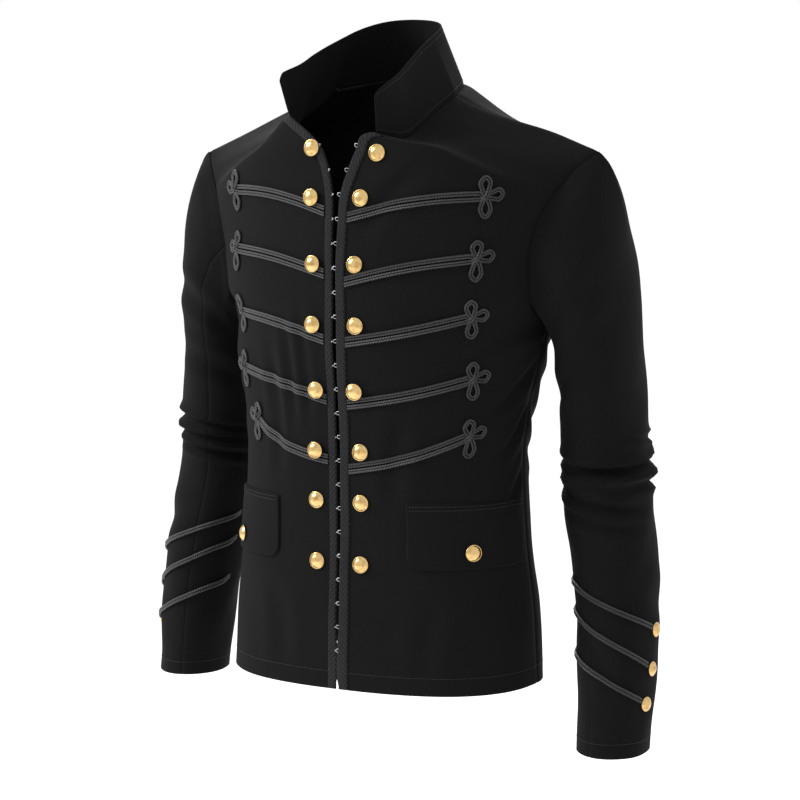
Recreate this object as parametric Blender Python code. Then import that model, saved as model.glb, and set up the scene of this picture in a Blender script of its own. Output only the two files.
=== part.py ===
"""A napoleon jacket, as it is worn, with nobody in it.

Metres, +Z up. The front faces -Y and the wearer's left is +X. The origin is level with the side of the neck,
between the shoulders. Every cloth piece is a thin wall worked out from the section tables below.
"""

import math
from collections import namedtuple

import bpy
import numpy as np
from mathutils import Vector
from mathutils.geometry import delaunay_2d_cdt

# Cloth and seams
WALL = 0.0018
SEAM_GAP = 0.0004
REST_GAP = 0.0003
ROUND_GAP = 0.0005

# Rows and columns of the panels
FINE_STEPS = 160
LOW_ROWS = 10
ARM_ROWS = 12
NECK_ROW = LOW_ROWS + 8
TOP_ROW = LOW_ROWS + ARM_ROWS
PANEL_COLUMNS = 9
SLEEVE_ROWS = 22
SLEEVE_ROW_POWER = 1.12
COLLAR_ROWS = 4

# The under sleeve takes this many of the armhole's steps on each side of the underarm
UNDER_STEPS = 5

# How the neck sits: turned towards the wearer's right, and a little lower on the left, the front of it most
NECK_TURN = math.radians(7.8)
NECK_ROLL = 0.06
NECK_FRONT_ROLL = 0.12
NECK_FRONT_Y = (0.02, 0.09)
NECK_TURN_FROM_Z = -0.05
NECK_TURN_TO_Z = -0.015
NECK_TURN_FROM_X = 0.09
NECK_TURN_TO_X = 0.20

# The open corners below the collar sit this much towards the wearer's left
OPEN_SHIFT = 0.002
OPEN_SHIFT_Z = (-0.105, -0.060, -0.035, -0.020)
OPEN_SHIFT_X = (0.05, 0.12)
OPEN_SHIFT_Y = (0.05, 0.09)

# Levels run from 0 at the hem, past 1 at the underarm, to 2 at the shoulder seam.
# The wrap is how far round the body a row goes, in degrees, and the square is its fullness, 2 for an ellipse.
Section = namedtuple("Section", "level centre_x centre_y centre_z side_x side_y side_z wrap square")
FRONT_SECTIONS = (
    Section(0.00, 0.0019, -0.122, -0.613, 0.177, 0.000, -0.613, 90, 2.35),
    Section(0.20, 0.0019, -0.120, -0.540, 0.173, 0.000, -0.540, 90, 2.35),
    Section(0.42, 0.0019, -0.117, -0.455, 0.163, 0.000, -0.455, 90, 2.40),
    Section(0.64, 0.0019, -0.117, -0.375, 0.159, 0.000, -0.375, 90, 2.35),
    Section(0.82, 0.0019, -0.121, -0.310, 0.166, 0.001, -0.310, 90, 2.10),
    Section(1.00, 0.0019, -0.126, -0.240, 0.181, 0.006, -0.240, 86, 2.00),
    Section(1.20, 0.0019, -0.126, -0.175, 0.181, -0.034, -0.203, 75, 2.00),
    Section(1.40, 0.0035, -0.121, -0.105, 0.182, -0.041, -0.158, 66, 2.05),
    Section(1.50, 0.0115, -0.119, -0.068, 0.187, -0.040, -0.134, 60, 2.05),
    Section(1.583, 0.029, -0.116, -0.035, 0.193, -0.036, -0.115, 55, 2.05),
    Section(1.667, 0.056, -0.106, -0.022, 0.201, -0.028, -0.098, 50, 2.00),
    Section(1.73, 0.0660, -0.083, -0.029, 0.2075, -0.021, -0.0875, 44, 2.00),
    Section(1.83, 0.0730, -0.050, -0.017, 0.219, -0.010, -0.070, 35, 2.00),
    Section(2.00, 0.0790, 0.010, 0.014, 0.236, 0.014, -0.050, 12, 2.00),
)
BACK_SECTIONS = (
    Section(0.00, 0.0000, 0.106, -0.613, 0.177, 0.000, -0.613, 90, 2.00),
    Section(0.20, 0.0000, 0.104, -0.540, 0.173, 0.000, -0.540, 90, 2.00),
    Section(0.42, 0.0000, 0.099, -0.455, 0.163, 0.000, -0.455, 90, 2.00),
    Section(0.64, 0.0000, 0.097, -0.375, 0.159, 0.000, -0.375, 90, 2.00),
    Section(0.82, 0.0000, 0.109, -0.310, 0.166, 0.001, -0.310, 90, 2.10),
    Section(1.00, 0.0000, 0.122, -0.240, 0.181, 0.006, -0.240, 86, 2.20),
    Section(1.20, 0.0000, 0.129, -0.160, 0.180, 0.052, -0.200, 66, 2.20),
    Section(1.40, 0.0000, 0.124, -0.080, 0.184, 0.068, -0.150, 60, 2.20),
    Section(1.667, 0.000, 0.080, 0.028, 0.205, 0.062, -0.098, 48, 2.20),
    Section(1.83, 0.0500, 0.066, 0.026, 0.222, 0.042, -0.068, 32, 2.00),
    Section(2.00, 0.0790, 0.010, 0.014, 0.236, 0.014, -0.050, 12, 2.00),
)

# Rings of the sleeve. The outer and inner points are the ends of a ring across the arm.
SleeveRing = namedtuple("SleeveRing", "level outer_x outer_z inner_x inner_z middle_y half_depth own_shape")
SLEEVE_RINGS = (
    SleeveRing(0.00, 0.236, -0.050, 0.181, -0.240, 0.012, 0.062, 0.0),
    SleeveRing(0.06, 0.249, -0.070, 0.189, -0.248, 0.018, 0.070, 0.45),
    SleeveRing(0.16, 0.262, -0.130, 0.190, -0.262, 0.028, 0.070, 0.9),
    SleeveRing(0.28, 0.269, -0.205, 0.190, -0.290, 0.036, 0.065, 1.0),
    SleeveRing(0.42, 0.276, -0.300, 0.190, -0.340, 0.042, 0.060, 1.0),
    SleeveRing(0.58, 0.284, -0.402, 0.193, -0.417, 0.044, 0.056, 1.0),
    SleeveRing(0.72, 0.295, -0.488, 0.208, -0.493, 0.036, 0.053, 1.0),
    SleeveRing(0.87, 0.300, -0.579, 0.218, -0.581, 0.022, 0.049, 1.0),
    SleeveRing(1.00, 0.297, -0.660, 0.222, -0.660, 0.010, 0.045, 1.0),
)
# The cuffs hang this much lower on the left and higher on the right
CUFF_DROP = 0.017

# Half a sleeve's width, for the slant of its folds
SLEEVE_RADIUS = 0.05

# The largest folds of a sleeve, at the elbow. The turn goes round from the outside to the front, in degrees.
SleeveFold = namedtuple("SleeveFold", "height turn slant reach width depth")
SLEEVE_FOLDS = (
    SleeveFold(-0.385, 115, 0.10, 80, 0.014, 0.0040),
    SleeveFold(-0.412, 120, -0.05, 75, 0.012, 0.0045),
    SleeveFold(-0.438, 110, -0.16, 70, 0.013, 0.0035),
)

# Stand collar: its height and how far its top leans in, by the share of the way between its front ends
CollarRib = namedtuple("CollarRib", "along height lean")
COLLAR_RIBS = (
    CollarRib(0.00, 0.0407, -0.0106),
    CollarRib(0.06, 0.0657, 0.0107),
    CollarRib(0.12, 0.0729, 0.0223),
    CollarRib(0.20, 0.0671, 0.0259),
    CollarRib(0.30, 0.0602, 0.0265),
    CollarRib(0.40, 0.0631, 0.0179),
    CollarRib(0.50, 0.0641, 0.0079),
)

# Tapes along the front edges
TAPE_WIDTH = {"left": 0.0105, "right": 0.0085}
TAPE_THICK = 0.0014
TAPE_INSET = 0.0004
TAPE_END = 0.05
TAPE_CLEAR = 0.0008
# How far round a laid piece the cloth's lines are taken into its mesh
LINE_REACH = 0.045

# Buttons
BUTTON_RADIUS = 0.0089
BUTTON_RIM = 0.0012
BUTTON_DOME = 0.0036
BUTTON_BACK_SHARE = 0.86
BUTTON_SHOULDER = 0.70
BUTTON_SHOULDER_RISE = 0.64
BUTTON_SIDES = 10
BUTTON_CLEAR = 0.0006
CUFF_BUTTON_RADIUS = 0.0078
CuffRow = namedtuple("CuffRow", "button_up start_up button_turn")
CUFF_ROWS = (
    CuffRow(0.130, 0.178, 4),
    CuffRow(0.090, 0.147, 10),
    CuffRow(0.054, 0.102, 17),
)

# Frogs: each starts at the tape below a button and rises to its loops
BRAID_WIDTH = 0.0110
BRAID_THICK = 0.0026
LOOP_OUTER = 0.0083
LOOP_INNER = 0.0030
LOOP_REACH = 0.0103
LOOP_SIDES = 9
HOLE_SIDES = 6
LOOP_TURN = 0.3
# The loops follow the braid's rise this far past its end, as a share of its length
LOOP_SHARE = 1.2
Frog = namedtuple("Frog", "start_z rise length bow")
FROGS = {
    "left": (
        Frog(-0.118, 0.022, 0.158, 0.0056),
        Frog(-0.184, 0.025, 0.150, 0.0032),
        Frog(-0.246, 0.027, 0.145, -0.0017),
        Frog(-0.311, 0.028, 0.146, -0.0025),
        Frog(-0.379, 0.037, 0.141, -0.0050),
    ),
    "right": (
        Frog(-0.112, 0.021, 0.147, 0.0067),
        Frog(-0.176, 0.022, 0.148, 0.0050),
        Frog(-0.244, 0.023, 0.145, 0.0042),
        Frog(-0.307, 0.026, 0.145, 0.0024),
        Frog(-0.370, 0.035, 0.118, -0.0060),
    ),
}
# Front buttons: the top right one reaches onto the tape, and some lie on the start of a frog
ON_TAPE = TAPE_THICK + 2.0 * BUTTON_CLEAR
ON_BRAID = REST_GAP + BRAID_THICK + BUTTON_CLEAR
FrontButton = namedtuple("FrontButton", "z across rise")
FRONT_BUTTONS = {
    "left": (
        FrontButton(-0.052, 0.0448, BUTTON_CLEAR),
        FrontButton(-0.098, 0.0285, BUTTON_CLEAR),
        FrontButton(-0.166, 0.0240, BUTTON_CLEAR),
        FrontButton(-0.229, 0.0240, BUTTON_CLEAR),
        FrontButton(-0.297, 0.0225, ON_BRAID),
        FrontButton(-0.361, 0.0255, BUTTON_CLEAR),
        FrontButton(-0.414, 0.0262, BUTTON_CLEAR),
        FrontButton(-0.479, 0.0262, BUTTON_CLEAR),
    ),
    "right": (
        FrontButton(-0.047, 0.0290, ON_TAPE),
        FrontButton(-0.098, 0.0285, ON_BRAID),
        FrontButton(-0.166, 0.0240, ON_BRAID),
        FrontButton(-0.229, 0.0240, ON_BRAID),
        FrontButton(-0.297, 0.0225, ON_BRAID),
        FrontButton(-0.361, 0.0255, ON_BRAID),
        FrontButton(-0.414, 0.0262, BUTTON_CLEAR),
        FrontButton(-0.479, 0.0262, BUTTON_CLEAR),
    ),
}
CUFF_BRAID_WIDTH = 0.0075
CUFF_BRAID_THICK = 0.0021
CUFF_BRAID_START_TURN = 142
CUFF_BRAID_END_GAP = 11.5
MARK_TURN = 3
CUFF_BRAID_CURVE = 1.15

# Pocket flaps, by their distances along the cloth from the middle of the front
FLAP_FROM = 0.076
FLAP_TO = 0.214
FLAP_TOP = -0.413
FLAP_BOTTOM = -0.481
FLAP_CORNER = 0.014
FLAP_CORNER_STEPS = 4
FLAP_THICK = 0.0024
FLAP_BUTTON_UP = 0.017
FLAP_BUTTON_RISE = REST_GAP + FLAP_THICK + BUTTON_CLEAR

# Colours
CLOTH = (0.010, 0.010, 0.011)
BRAID = (0.030, 0.030, 0.032)
TAPE = (0.024, 0.025, 0.027)
GOLD = (0.78, 0.52, 0.20)

SHARP_ANGLE = math.radians(40)
# A corner's points are drawn back at most the inverse of this share further
LEAST_PULL = 0.5
# Shorter vectors than this are left as they are
LEAST_LENGTH = 1e-12
# Seam points of two pieces are the same within this
SEAM_MATCH = 1e-5
# Points closer than this are one point
SAME_POINT = 1e-6

SIDES = {"left": 1, "right": -1}


def clear_scene():
    for item in list(bpy.data.objects):
        bpy.data.objects.remove(item, do_unlink=True)


def finish(name, colour, roughness, metallic=0.0):
    """A material of the piece's colour."""
    material = bpy.data.materials.new(name)
    material.use_nodes = True
    shader = material.node_tree.nodes["Principled BSDF"]
    shader.inputs["Base Color"].default_value = (*colour, 1.0)
    shader.inputs["Roughness"].default_value = roughness
    shader.inputs["Metallic"].default_value = metallic
    return material


def unit(vectors):
    """The vectors at length 1."""
    lengths = np.linalg.norm(vectors, axis=-1, keepdims=True)
    return vectors / np.maximum(lengths, LEAST_LENGTH)


def ramp(value, start, end):
    """0 at the start, 1 at the end, with a smooth rise between."""
    t = np.clip((value - start) / (end - start), 0.0, 1.0)
    return t * t * (3.0 - 2.0 * t)


def track(stations, values, at):
    """Values at the asked stations, on a smooth curve through the table's rows that never overshoots them."""
    stations = np.asarray(stations, float)
    values = np.asarray(values, float)
    at = np.asarray(at, float)
    steps = np.diff(stations)
    slopes = np.diff(values) / steps
    tangents = np.zeros_like(values)
    tangents[0] = slopes[0]
    tangents[-1] = slopes[-1]
    before = slopes[:-1]
    after = slopes[1:]
    same_way = before * after > 0
    total = np.where(same_way, before + after, 1.0)
    tangents[1:-1] = np.where(same_way, 2.0 * before * after / total, 0.0)
    piece = np.clip(np.searchsorted(stations, at, side="right") - 1, 0, len(steps) - 1)
    t = (at - stations[piece]) / steps[piece]
    start = values[piece]
    end = values[piece + 1]
    leave = tangents[piece] * steps[piece]
    arrive = tangents[piece + 1] * steps[piece]
    curve = start * (1 + 2 * t) * (1 - t) ** 2 + end * t * t * (3 - 2 * t)
    return curve + leave * t * (1 - t) ** 2 - arrive * t * t * (1 - t)


def columns_of(table, at):
    """Every column of a table, read at the asked levels."""
    levels = [row.level for row in table]
    read = {name: track(levels, [getattr(row, name) for row in table], at) for name in table[0]._fields[1:]}
    return read


def row_levels():
    """The levels of the panels' rows: even below the underarm, and even above it."""
    low = np.linspace(0.0, 1.0, LOW_ROWS + 1)
    arm = np.linspace(1.0, 2.0, ARM_ROWS + 1)
    return np.concatenate([low, arm[1:]])


def even_points(path, count):
    """Points at equal distances along a path, both ends included."""
    lengths = np.concatenate([[0.0], np.cumsum(np.linalg.norm(np.diff(path, axis=0), axis=1))])
    wanted = np.linspace(0.0, lengths[-1], count + 1)
    return np.stack([np.interp(wanted, lengths, path[:, axis]) for axis in range(3)], axis=1)


def neck_sits(points):
    """Turns the neck on the shoulders and shifts the open corners below it."""
    x, y, z = points[..., 0], points[..., 1], points[..., 2]
    shift = ramp(z, *OPEN_SHIFT_Z[:2]) * (1.0 - ramp(z, *OPEN_SHIFT_Z[2:]))
    shift = shift * (1.0 - ramp(np.abs(x), *OPEN_SHIFT_X)) * ramp(-y, *OPEN_SHIFT_Y)
    x = x + OPEN_SHIFT * shift
    amount = ramp(z, NECK_TURN_FROM_Z, NECK_TURN_TO_Z)
    amount = amount * (1.0 - ramp(np.abs(x), NECK_TURN_FROM_X, NECK_TURN_TO_X))
    angle = -NECK_TURN * amount
    turned_x = x * np.cos(angle) - y * np.sin(angle)
    turned_y = x * np.sin(angle) + y * np.cos(angle)
    roll = NECK_ROLL + NECK_FRONT_ROLL * ramp(-y, *NECK_FRONT_Y)
    return np.stack([turned_x, turned_y, z - roll * x * amount], axis=-1)


def panel_grid(sections, columns, side):
    """Rows of points from the centre of the body to its side, one row for each level."""
    read = columns_of(sections, row_levels())
    fine = np.linspace(0.0, 1.0, FINE_STEPS + 1)
    rows = []
    for i in range(TOP_ROW + 1):
        wrap = math.radians(min(read["wrap"][i], 90.0))
        power = 2.0 / read["square"][i]
        sideways = (np.sin(fine * wrap) / math.sin(wrap)) ** power
        inwards = 1.0 - np.maximum(np.cos(fine * wrap), 0.0) ** power
        inwards = inwards / inwards[-1]
        x = read["centre_x"][i] + (read["side_x"][i] - read["centre_x"][i]) * sideways
        y = read["centre_y"][i] + (read["side_y"][i] - read["centre_y"][i]) * inwards
        z = read["centre_z"][i] + (read["side_z"][i] - read["centre_z"][i]) * sideways
        rows.append(even_points(np.stack([x * side, y, z], axis=1), columns))
    return neck_sits(np.array(rows))


def join_side_seam(front, back):
    """Brings the two panels to one side seam and one shoulder seam."""
    for seam in (np.s_[:LOW_ROWS + 1, -1], np.s_[TOP_ROW, :]):
        middle = (front[seam] + back[seam]) / 2.0
        front[seam] = middle
        back[seam] = middle


def armhole_of(front, back):
    """The armhole, from the underarm up the front to the shoulder and down the back to the underarm."""
    front_half = front[LOW_ROWS:, -1]
    back_half = back[LOW_ROWS:, -1][::-1]
    return np.concatenate([front_half, back_half[1:-1]])


def sleeve_turns():
    """The angle of each armhole step, from the underarm over the front: 180 is the underarm."""
    steps = 2 * ARM_ROWS
    return math.pi - np.arange(steps) * 2.0 * math.pi / steps


def fold_depth(height, turn):
    """How far a sleeve's surface is pushed in by its folds, at a height and a turn in degrees."""
    depth = 0.0
    for fold in SLEEVE_FOLDS:
        away = (turn - fold.turn + 180.0) % 360.0 - 180.0
        line = fold.height + fold.slant * np.radians(away) * SLEEVE_RADIUS
        across = np.exp(-(((height - line) / fold.width) ** 2))
        along = np.clip(1.0 - (away / fold.reach) ** 2, 0.0, 1.0)
        depth = depth + fold.depth * across * along
    return depth


def sleeve_grid(armhole, side):
    """Rings of points from the armhole to the cuff, each from the underarm up the front."""
    levels = np.linspace(0.0, 1.0, SLEEVE_ROWS + 1) ** SLEEVE_ROW_POWER
    read = columns_of(SLEEVE_RINGS, levels)
    turns = sleeve_turns()
    first_middle = (armhole.max(axis=0) + armhole.min(axis=0)) / 2.0
    rings = []
    for i in range(len(levels)):
        drop = CUFF_DROP * levels[i] * side
        outer = np.array([read["outer_x"][i] * side, read["middle_y"][i], read["outer_z"][i] - drop])
        inner = np.array([read["inner_x"][i] * side, read["middle_y"][i], read["inner_z"][i] - drop])
        middle = (outer + inner) / 2.0
        half = (outer - inner) / 2.0
        front = np.array([0.0, -read["half_depth"][i], 0.0])
        ring = middle + np.outer(np.cos(turns), half) + np.outer(np.sin(turns), front)
        inward = fold_depth(ring[:, 2] + drop, np.degrees(turns))
        ring = ring - unit(ring - middle) * np.reshape(inward, (-1, 1))
        carried = armhole - first_middle + middle
        share = read["own_shape"][i]
        rings.append(ring * share + carried * (1.0 - share))
    return np.array(rings)


def collar_grid(left_front, left_back, right_back, right_front):
    """The collar's points, from its left front end round the back to its right one, bottom row first."""
    seam = np.concatenate([
        left_front[NECK_ROW:, 0],
        left_back[NECK_ROW:, 0][::-1][1:],
        right_back[NECK_ROW:, 0][1:],
        right_front[NECK_ROW:, 0][::-1][1:],
    ])
    lengths = np.concatenate([[0.0], np.cumsum(np.linalg.norm(np.diff(seam, axis=0), axis=1))])
    along = lengths / lengths[-1]
    from_end = np.minimum(along, 1.0 - along)
    stations = [rib.along for rib in COLLAR_RIBS]
    height = track(stations, [rib.height for rib in COLLAR_RIBS], from_end)
    lean = track(stations, [rib.lean for rib in COLLAR_RIBS], from_end)
    middle = seam.mean(axis=0)
    inward = middle - seam
    inward[:, 2] = 0.0
    inward = unit(inward)
    rows = []
    for i in range(COLLAR_ROWS + 1):
        share = i / COLLAR_ROWS
        rise = np.zeros_like(seam)
        rise[:, 2] = height * share
        rows.append(seam + rise + inward * np.reshape(lean * share, (-1, 1)))
    return np.array(rows)


class Sheet:
    """One cloth piece as a surface: its points, its outward normals and its four-sided faces."""

    def __init__(self, name, points, faces, outward):
        self.name = name
        self.points = points
        self.faces = faces
        corner = points[faces]
        face_normals = np.cross(corner[:, 2] - corner[:, 0], corner[:, 3] - corner[:, 1])
        if outward(corner.mean(axis=1), face_normals) < 0:
            self.faces = faces[:, [0, 3, 2, 1]]
            face_normals = -face_normals
        self.normals = np.zeros_like(points)
        for k in range(4):
            np.add.at(self.normals, self.faces[:, k], face_normals)
        self.normals = unit(self.normals)

    def border(self):
        """The border's edges, each with the middle of its face, in the direction of the face."""
        owner = {}
        for index, face in enumerate(self.faces):
            for k in range(4):
                edge = (face[k], face[(k + 1) % 4])
                if (edge[1], edge[0]) in owner:
                    del owner[(edge[1], edge[0])]
                else:
                    owner[edge] = index
        return owner


def grid_faces(rows, columns, closed=False):
    """The four-sided faces of a grid of points, closed round its columns or open."""
    faces = []
    for i in range(rows - 1):
        for j in range(columns if closed else columns - 1):
            following = (j + 1) % columns
            faces.append((i * columns + j, i * columns + following,
                          (i + 1) * columns + following, (i + 1) * columns + j))
    return np.array(faces)


def away_from(middle):
    """A test of faces against a vertical axis: positive when they look away from it."""
    def outward(places, normals):
        return float(((places - middle)[:, :2] * normals[:, :2]).sum())
    return outward


def grid_sheet(name, grid, middle):
    rows, columns = grid.shape[:2]
    return Sheet(name, grid.reshape(-1, 3), grid_faces(rows, columns), away_from(middle))


def back_sheet(left, right):
    """The whole back: its halves share the centre line below the neck."""
    columns = left.shape[1]
    count = left.shape[0] * columns
    index = np.arange(count, 2 * count).reshape(left.shape[:2])
    index[:NECK_ROW + 1, 0] = np.arange(0, count, columns)[:NECK_ROW + 1]
    points = np.concatenate([left.reshape(-1, 3), right.reshape(-1, 3)])
    faces = grid_faces(left.shape[0], columns)
    mirrored = index.reshape(-1)[faces][:, ::-1]
    faces = np.concatenate([faces, mirrored])
    used, renumbered = np.unique(faces, return_inverse=True)
    return Sheet("back", points[used], renumbered.reshape(faces.shape), away_from(np.zeros(3)))


def share_seam_normals(sheets):
    """Gives the sheets that meet at a point the same normal there, so their walls meet in a mitre."""
    found = {}
    for sheet in sheets:
        for edge in sheet.border():
            for point in edge:
                key = tuple(np.round(sheet.points[point] / SEAM_MATCH).astype(int))
                found.setdefault(key, {})[(sheet.name, point)] = sheet
    for group in found.values():
        total = sum(sheet.normals[point] for (_, point), sheet in group.items())
        for (_, point), sheet in group.items():
            sheet.normals[point] = unit(total)


def draw_back(sheet, amount):
    """Draws the border of a sheet in by an amount, which leaves the gap of a seam."""
    pull = {}
    for (start, end), face in sheet.border().items():
        along = unit(sheet.points[end] - sheet.points[start])
        inward = sheet.points[sheet.faces[face]].mean(axis=0) - sheet.points[start]
        inward = unit(inward - along * np.dot(inward, along))
        for point in (start, end):
            pull.setdefault(point, []).append(inward)
    for point, pulls in pull.items():
        direction = unit(sum(pulls))
        length = amount / max(LEAST_PULL, np.dot(direction, pulls[0]))
        sheet.points[point] = sheet.points[point] + direction * length


def mesh_object(name, points, faces, material):
    mesh = bpy.data.meshes.new(name)
    mesh.from_pydata([tuple(map(float, point)) for point in points], [], [tuple(map(int, f)) for f in faces])
    mesh.materials.append(material)
    mesh.shade_smooth()
    mesh.set_sharp_from_angle(angle=SHARP_ANGLE)
    item = bpy.data.objects.new(name, mesh)
    bpy.context.scene.collection.objects.link(item)
    return item


def walled(sheet, material):
    """The solid of a sheet: the sheet outside, a copy of it one wall further in, and a rim between them."""
    inner = sheet.points - sheet.normals * WALL
    count = len(sheet.points)
    faces = [tuple(face) for face in sheet.faces]
    faces += [tuple(face[::-1] + count) for face in sheet.faces]
    faces += [(end, start, start + count, end + count) for start, end in sheet.border()]
    return mesh_object(sheet.name, np.concatenate([sheet.points, inner]), faces, material)


class Surface:
    """A grid as a smooth surface that can be asked for places, by rows and columns."""

    def __init__(self, grid, outward):
        self.grid = grid
        along = np.gradient(grid, axis=0)
        across = np.gradient(grid, axis=1)
        normals = np.cross(across, along)
        facing = outward(grid.reshape(-1, 3), normals.reshape(-1, 3))
        self.normals = unit(normals if facing > 0 else -normals)

    def at(self, row, column):
        """The point and the normal at a fractional row and column."""
        rows, columns = self.grid.shape[:2]
        i = int(np.clip(math.floor(row), 0, rows - 2))
        j = int(np.clip(math.floor(column), 0, columns - 2))
        s = row - i
        t = column - j
        if t >= s:
            parts = (((i, j), 1 - t), ((i, j + 1), t - s), ((i + 1, j + 1), s))
        else:
            parts = (((i, j), 1 - s), ((i + 1, j), s - t), ((i + 1, j + 1), t))
        point = sum(share * self.grid[corner] for corner, share in parts)
        normal = sum(share * self.normals[corner] for corner, share in parts)
        return point, unit(normal)

    def slice_at(self, height):
        """Where each column crosses a height: the rows, and the distances from the middle of the front."""
        columns = range(self.grid.shape[1])
        rows = np.array([np.interp(height, self.grid[:, j, 2], np.arange(len(self.grid))) for j in columns])
        line = np.array([self.at(row, j)[0] for j, row in enumerate(rows)])
        lengths = np.cumsum(np.linalg.norm(np.diff(line, axis=0), axis=1))
        return rows, abs(line[0, 0]) + np.concatenate([[0.0], lengths])

    def lines_near(self, places):
        """The grid's lines and diagonals round some places, each as the rows and columns of its two ends."""
        places = np.array(places)
        low = places.min(axis=0) - LINE_REACH
        high = places.max(axis=0) + LINE_REACH
        near = ((self.chart > low) & (self.chart < high)).all(axis=2)
        lines = []
        for i, j in zip(*np.nonzero(near)):
            for end in ((i, j + 1), (i + 1, j), (i + 1, j + 1)):
                if end[0] < near.shape[0] and end[1] < near.shape[1] and near[end]:
                    lines.append(((int(i), int(j)), (int(end[0]), int(end[1]))))
        return lines

    def draw_chart(self):
        """Notes each grid point's distance along the cloth from the middle of the front, and its height."""
        self.chart = np.zeros((*self.grid.shape[:2], 2))
        for place in np.ndindex(*self.grid.shape[:2]):
            height = self.grid[place][2]
            self.chart[place] = (self.slice_at(height)[1][place[1]], height)

    def place(self, across, height):
        """The point and the normal at a height and at a distance along the cloth from the middle."""
        rows, lengths = self.slice_at(height)
        column = float(np.interp(across, lengths, np.arange(len(lengths))))
        return self.at(float(np.interp(column, np.arange(len(rows)), rows)), column)


def laid_shape(name, surface, to_cloth, from_cloth, outline_points, outline_edges, keep, thick, material):
    """A flat shape laid on the cloth: its outline is meshed and its points are moved out from the cloth.

    The cloth's own lines are meshed with it, so that the shape bends where the cloth does.
    """
    points = list(outline_points)
    edges = list(outline_edges)
    number = {}
    for line in surface.lines_near([to_cloth(*point) for point in outline_points]):
        for place in line:
            if place not in number:
                number[place] = len(points)
                points.append(from_cloth(*surface.chart[place]))
        edges.append((number[line[0]], number[line[1]]))
    result = delaunay_2d_cdt([Vector(p) for p in points], edges, [], 0, SAME_POINT)
    flat = [tuple(v) for v in result[0]]
    kept = []
    for face in result[2]:
        middle = (sum(flat[k][0] for k in face) / len(face), sum(flat[k][1] for k in face) / len(face))
        if keep(*middle):
            kept.append(tuple(face))
    used = sorted({k for face in kept for k in face})
    number = {k: n for n, k in enumerate(used)}
    kept = [tuple(number[k] for k in face) for face in kept]
    low = []
    high = []
    for k in used:
        point, normal = surface.place(*to_cloth(*flat[k]))
        low.append(point + normal * REST_GAP)
        high.append(point + normal * (REST_GAP + thick))
    count = len(used)
    first = kept[0]
    edge_one = high[first[1]] - high[first[0]]
    edge_two = high[first[2]] - high[first[0]]
    if np.dot(np.cross(edge_one, edge_two), high[first[0]] - low[first[0]]) < 0:
        kept = [face[::-1] for face in kept]
    owner = set()
    for face in kept:
        for k in range(len(face)):
            edge = (face[k], face[(k + 1) % len(face)])
            if (edge[1], edge[0]) in owner:
                owner.remove((edge[1], edge[0]))
            else:
                owner.add(edge)
    faces = list(kept)
    faces += [tuple(k + count for k in face[::-1]) for face in kept]
    faces += [(end, start, start + count, end + count) for start, end in sorted(owner)]
    return mesh_object(name, high + low, faces, material)


def ring_points(centre, radius, count):
    angles = [LOOP_TURN + 2.0 * math.pi * k / count for k in range(count)]
    return [(centre[0] + radius * math.cos(a), centre[1] + radius * math.sin(a)) for a in angles]


def loop_edges(start, count):
    return [(start + k, start + (k + 1) % count) for k in range(count)]


def build_frog(name, frog, surface, tape_width, material):
    """A wide braid from the tape to three loops, one outward, one up and one down."""
    heights = (frog.start_z - BRAID_WIDTH / 2.0, frog.start_z + BRAID_WIDTH / 2.0)
    start = max(surface.slice_at(height)[1][0] for height in heights) + tape_width + TAPE_CLEAR
    reach = frog.length - start
    half = BRAID_WIDTH / 2.0

    def to_cloth(along, off):
        share = min(max(along / reach, 0.0), LOOP_SHARE)
        lift = frog.rise * share + frog.bow * math.sin(math.pi * min(share, 1.0))
        return start + along, frog.start_z + lift + off

    def from_cloth(across, height):
        along = across - start
        return along, height - to_cloth(along, 0.0)[1]

    points = [(0.0, -half), (reach, -half), (reach, half), (0.0, half)]
    edges = loop_edges(0, len(points))
    middles = [(reach + LOOP_REACH, 0.0), (reach, LOOP_REACH), (reach, -LOOP_REACH)]
    for middle in middles:
        for radius, count in ((LOOP_OUTER, LOOP_SIDES), (LOOP_INNER, HOLE_SIDES)):
            first = len(points)
            points += ring_points(middle, radius, count)
            edges += loop_edges(first, count)

    def keep(along, off):
        away = [math.hypot(along - m[0], off - m[1]) for m in middles]
        in_loop = any(d < LOOP_OUTER * math.cos(math.pi / LOOP_SIDES) for d in away)
        in_hole = any(d < LOOP_INNER * math.cos(math.pi / HOLE_SIDES) for d in away)
        on_braid = 0.0 < along < reach and abs(off) < half
        return (in_loop or on_braid) and not in_hole

    return laid_shape(name, surface, to_cloth, from_cloth, points, edges, keep, BRAID_THICK, material)


def strip_object(name, low, high, rows, material):
    """A closed strip from its lower and upper points, two for each row."""
    count = len(high)
    faces = []
    for k in range(rows - 1):
        a, b, c, d = 2 * k, 2 * k + 1, 2 * k + 3, 2 * k + 2
        faces.append((a, b, c, d))
        faces.append((d + count, c + count, b + count, a + count))
        faces.append((b, a, a + count, b + count) if k == 0 else None)
        faces.append((a, d, d + count, a + count))
        faces.append((c, b, b + count, c + count))
    last = 2 * rows - 2
    faces.append((last, last + 1, last + 1 + count, last + count))
    faces = [face for face in faces if face]
    first = faces[0]
    edge_one = high[first[1]] - high[first[0]]
    edge_two = high[first[3]] - high[first[0]]
    if np.dot(np.cross(edge_one, edge_two), high[0] - low[0]) < 0:
        faces = [face[::-1] for face in faces]
    return mesh_object(name, list(high) + list(low), faces, material)


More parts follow.
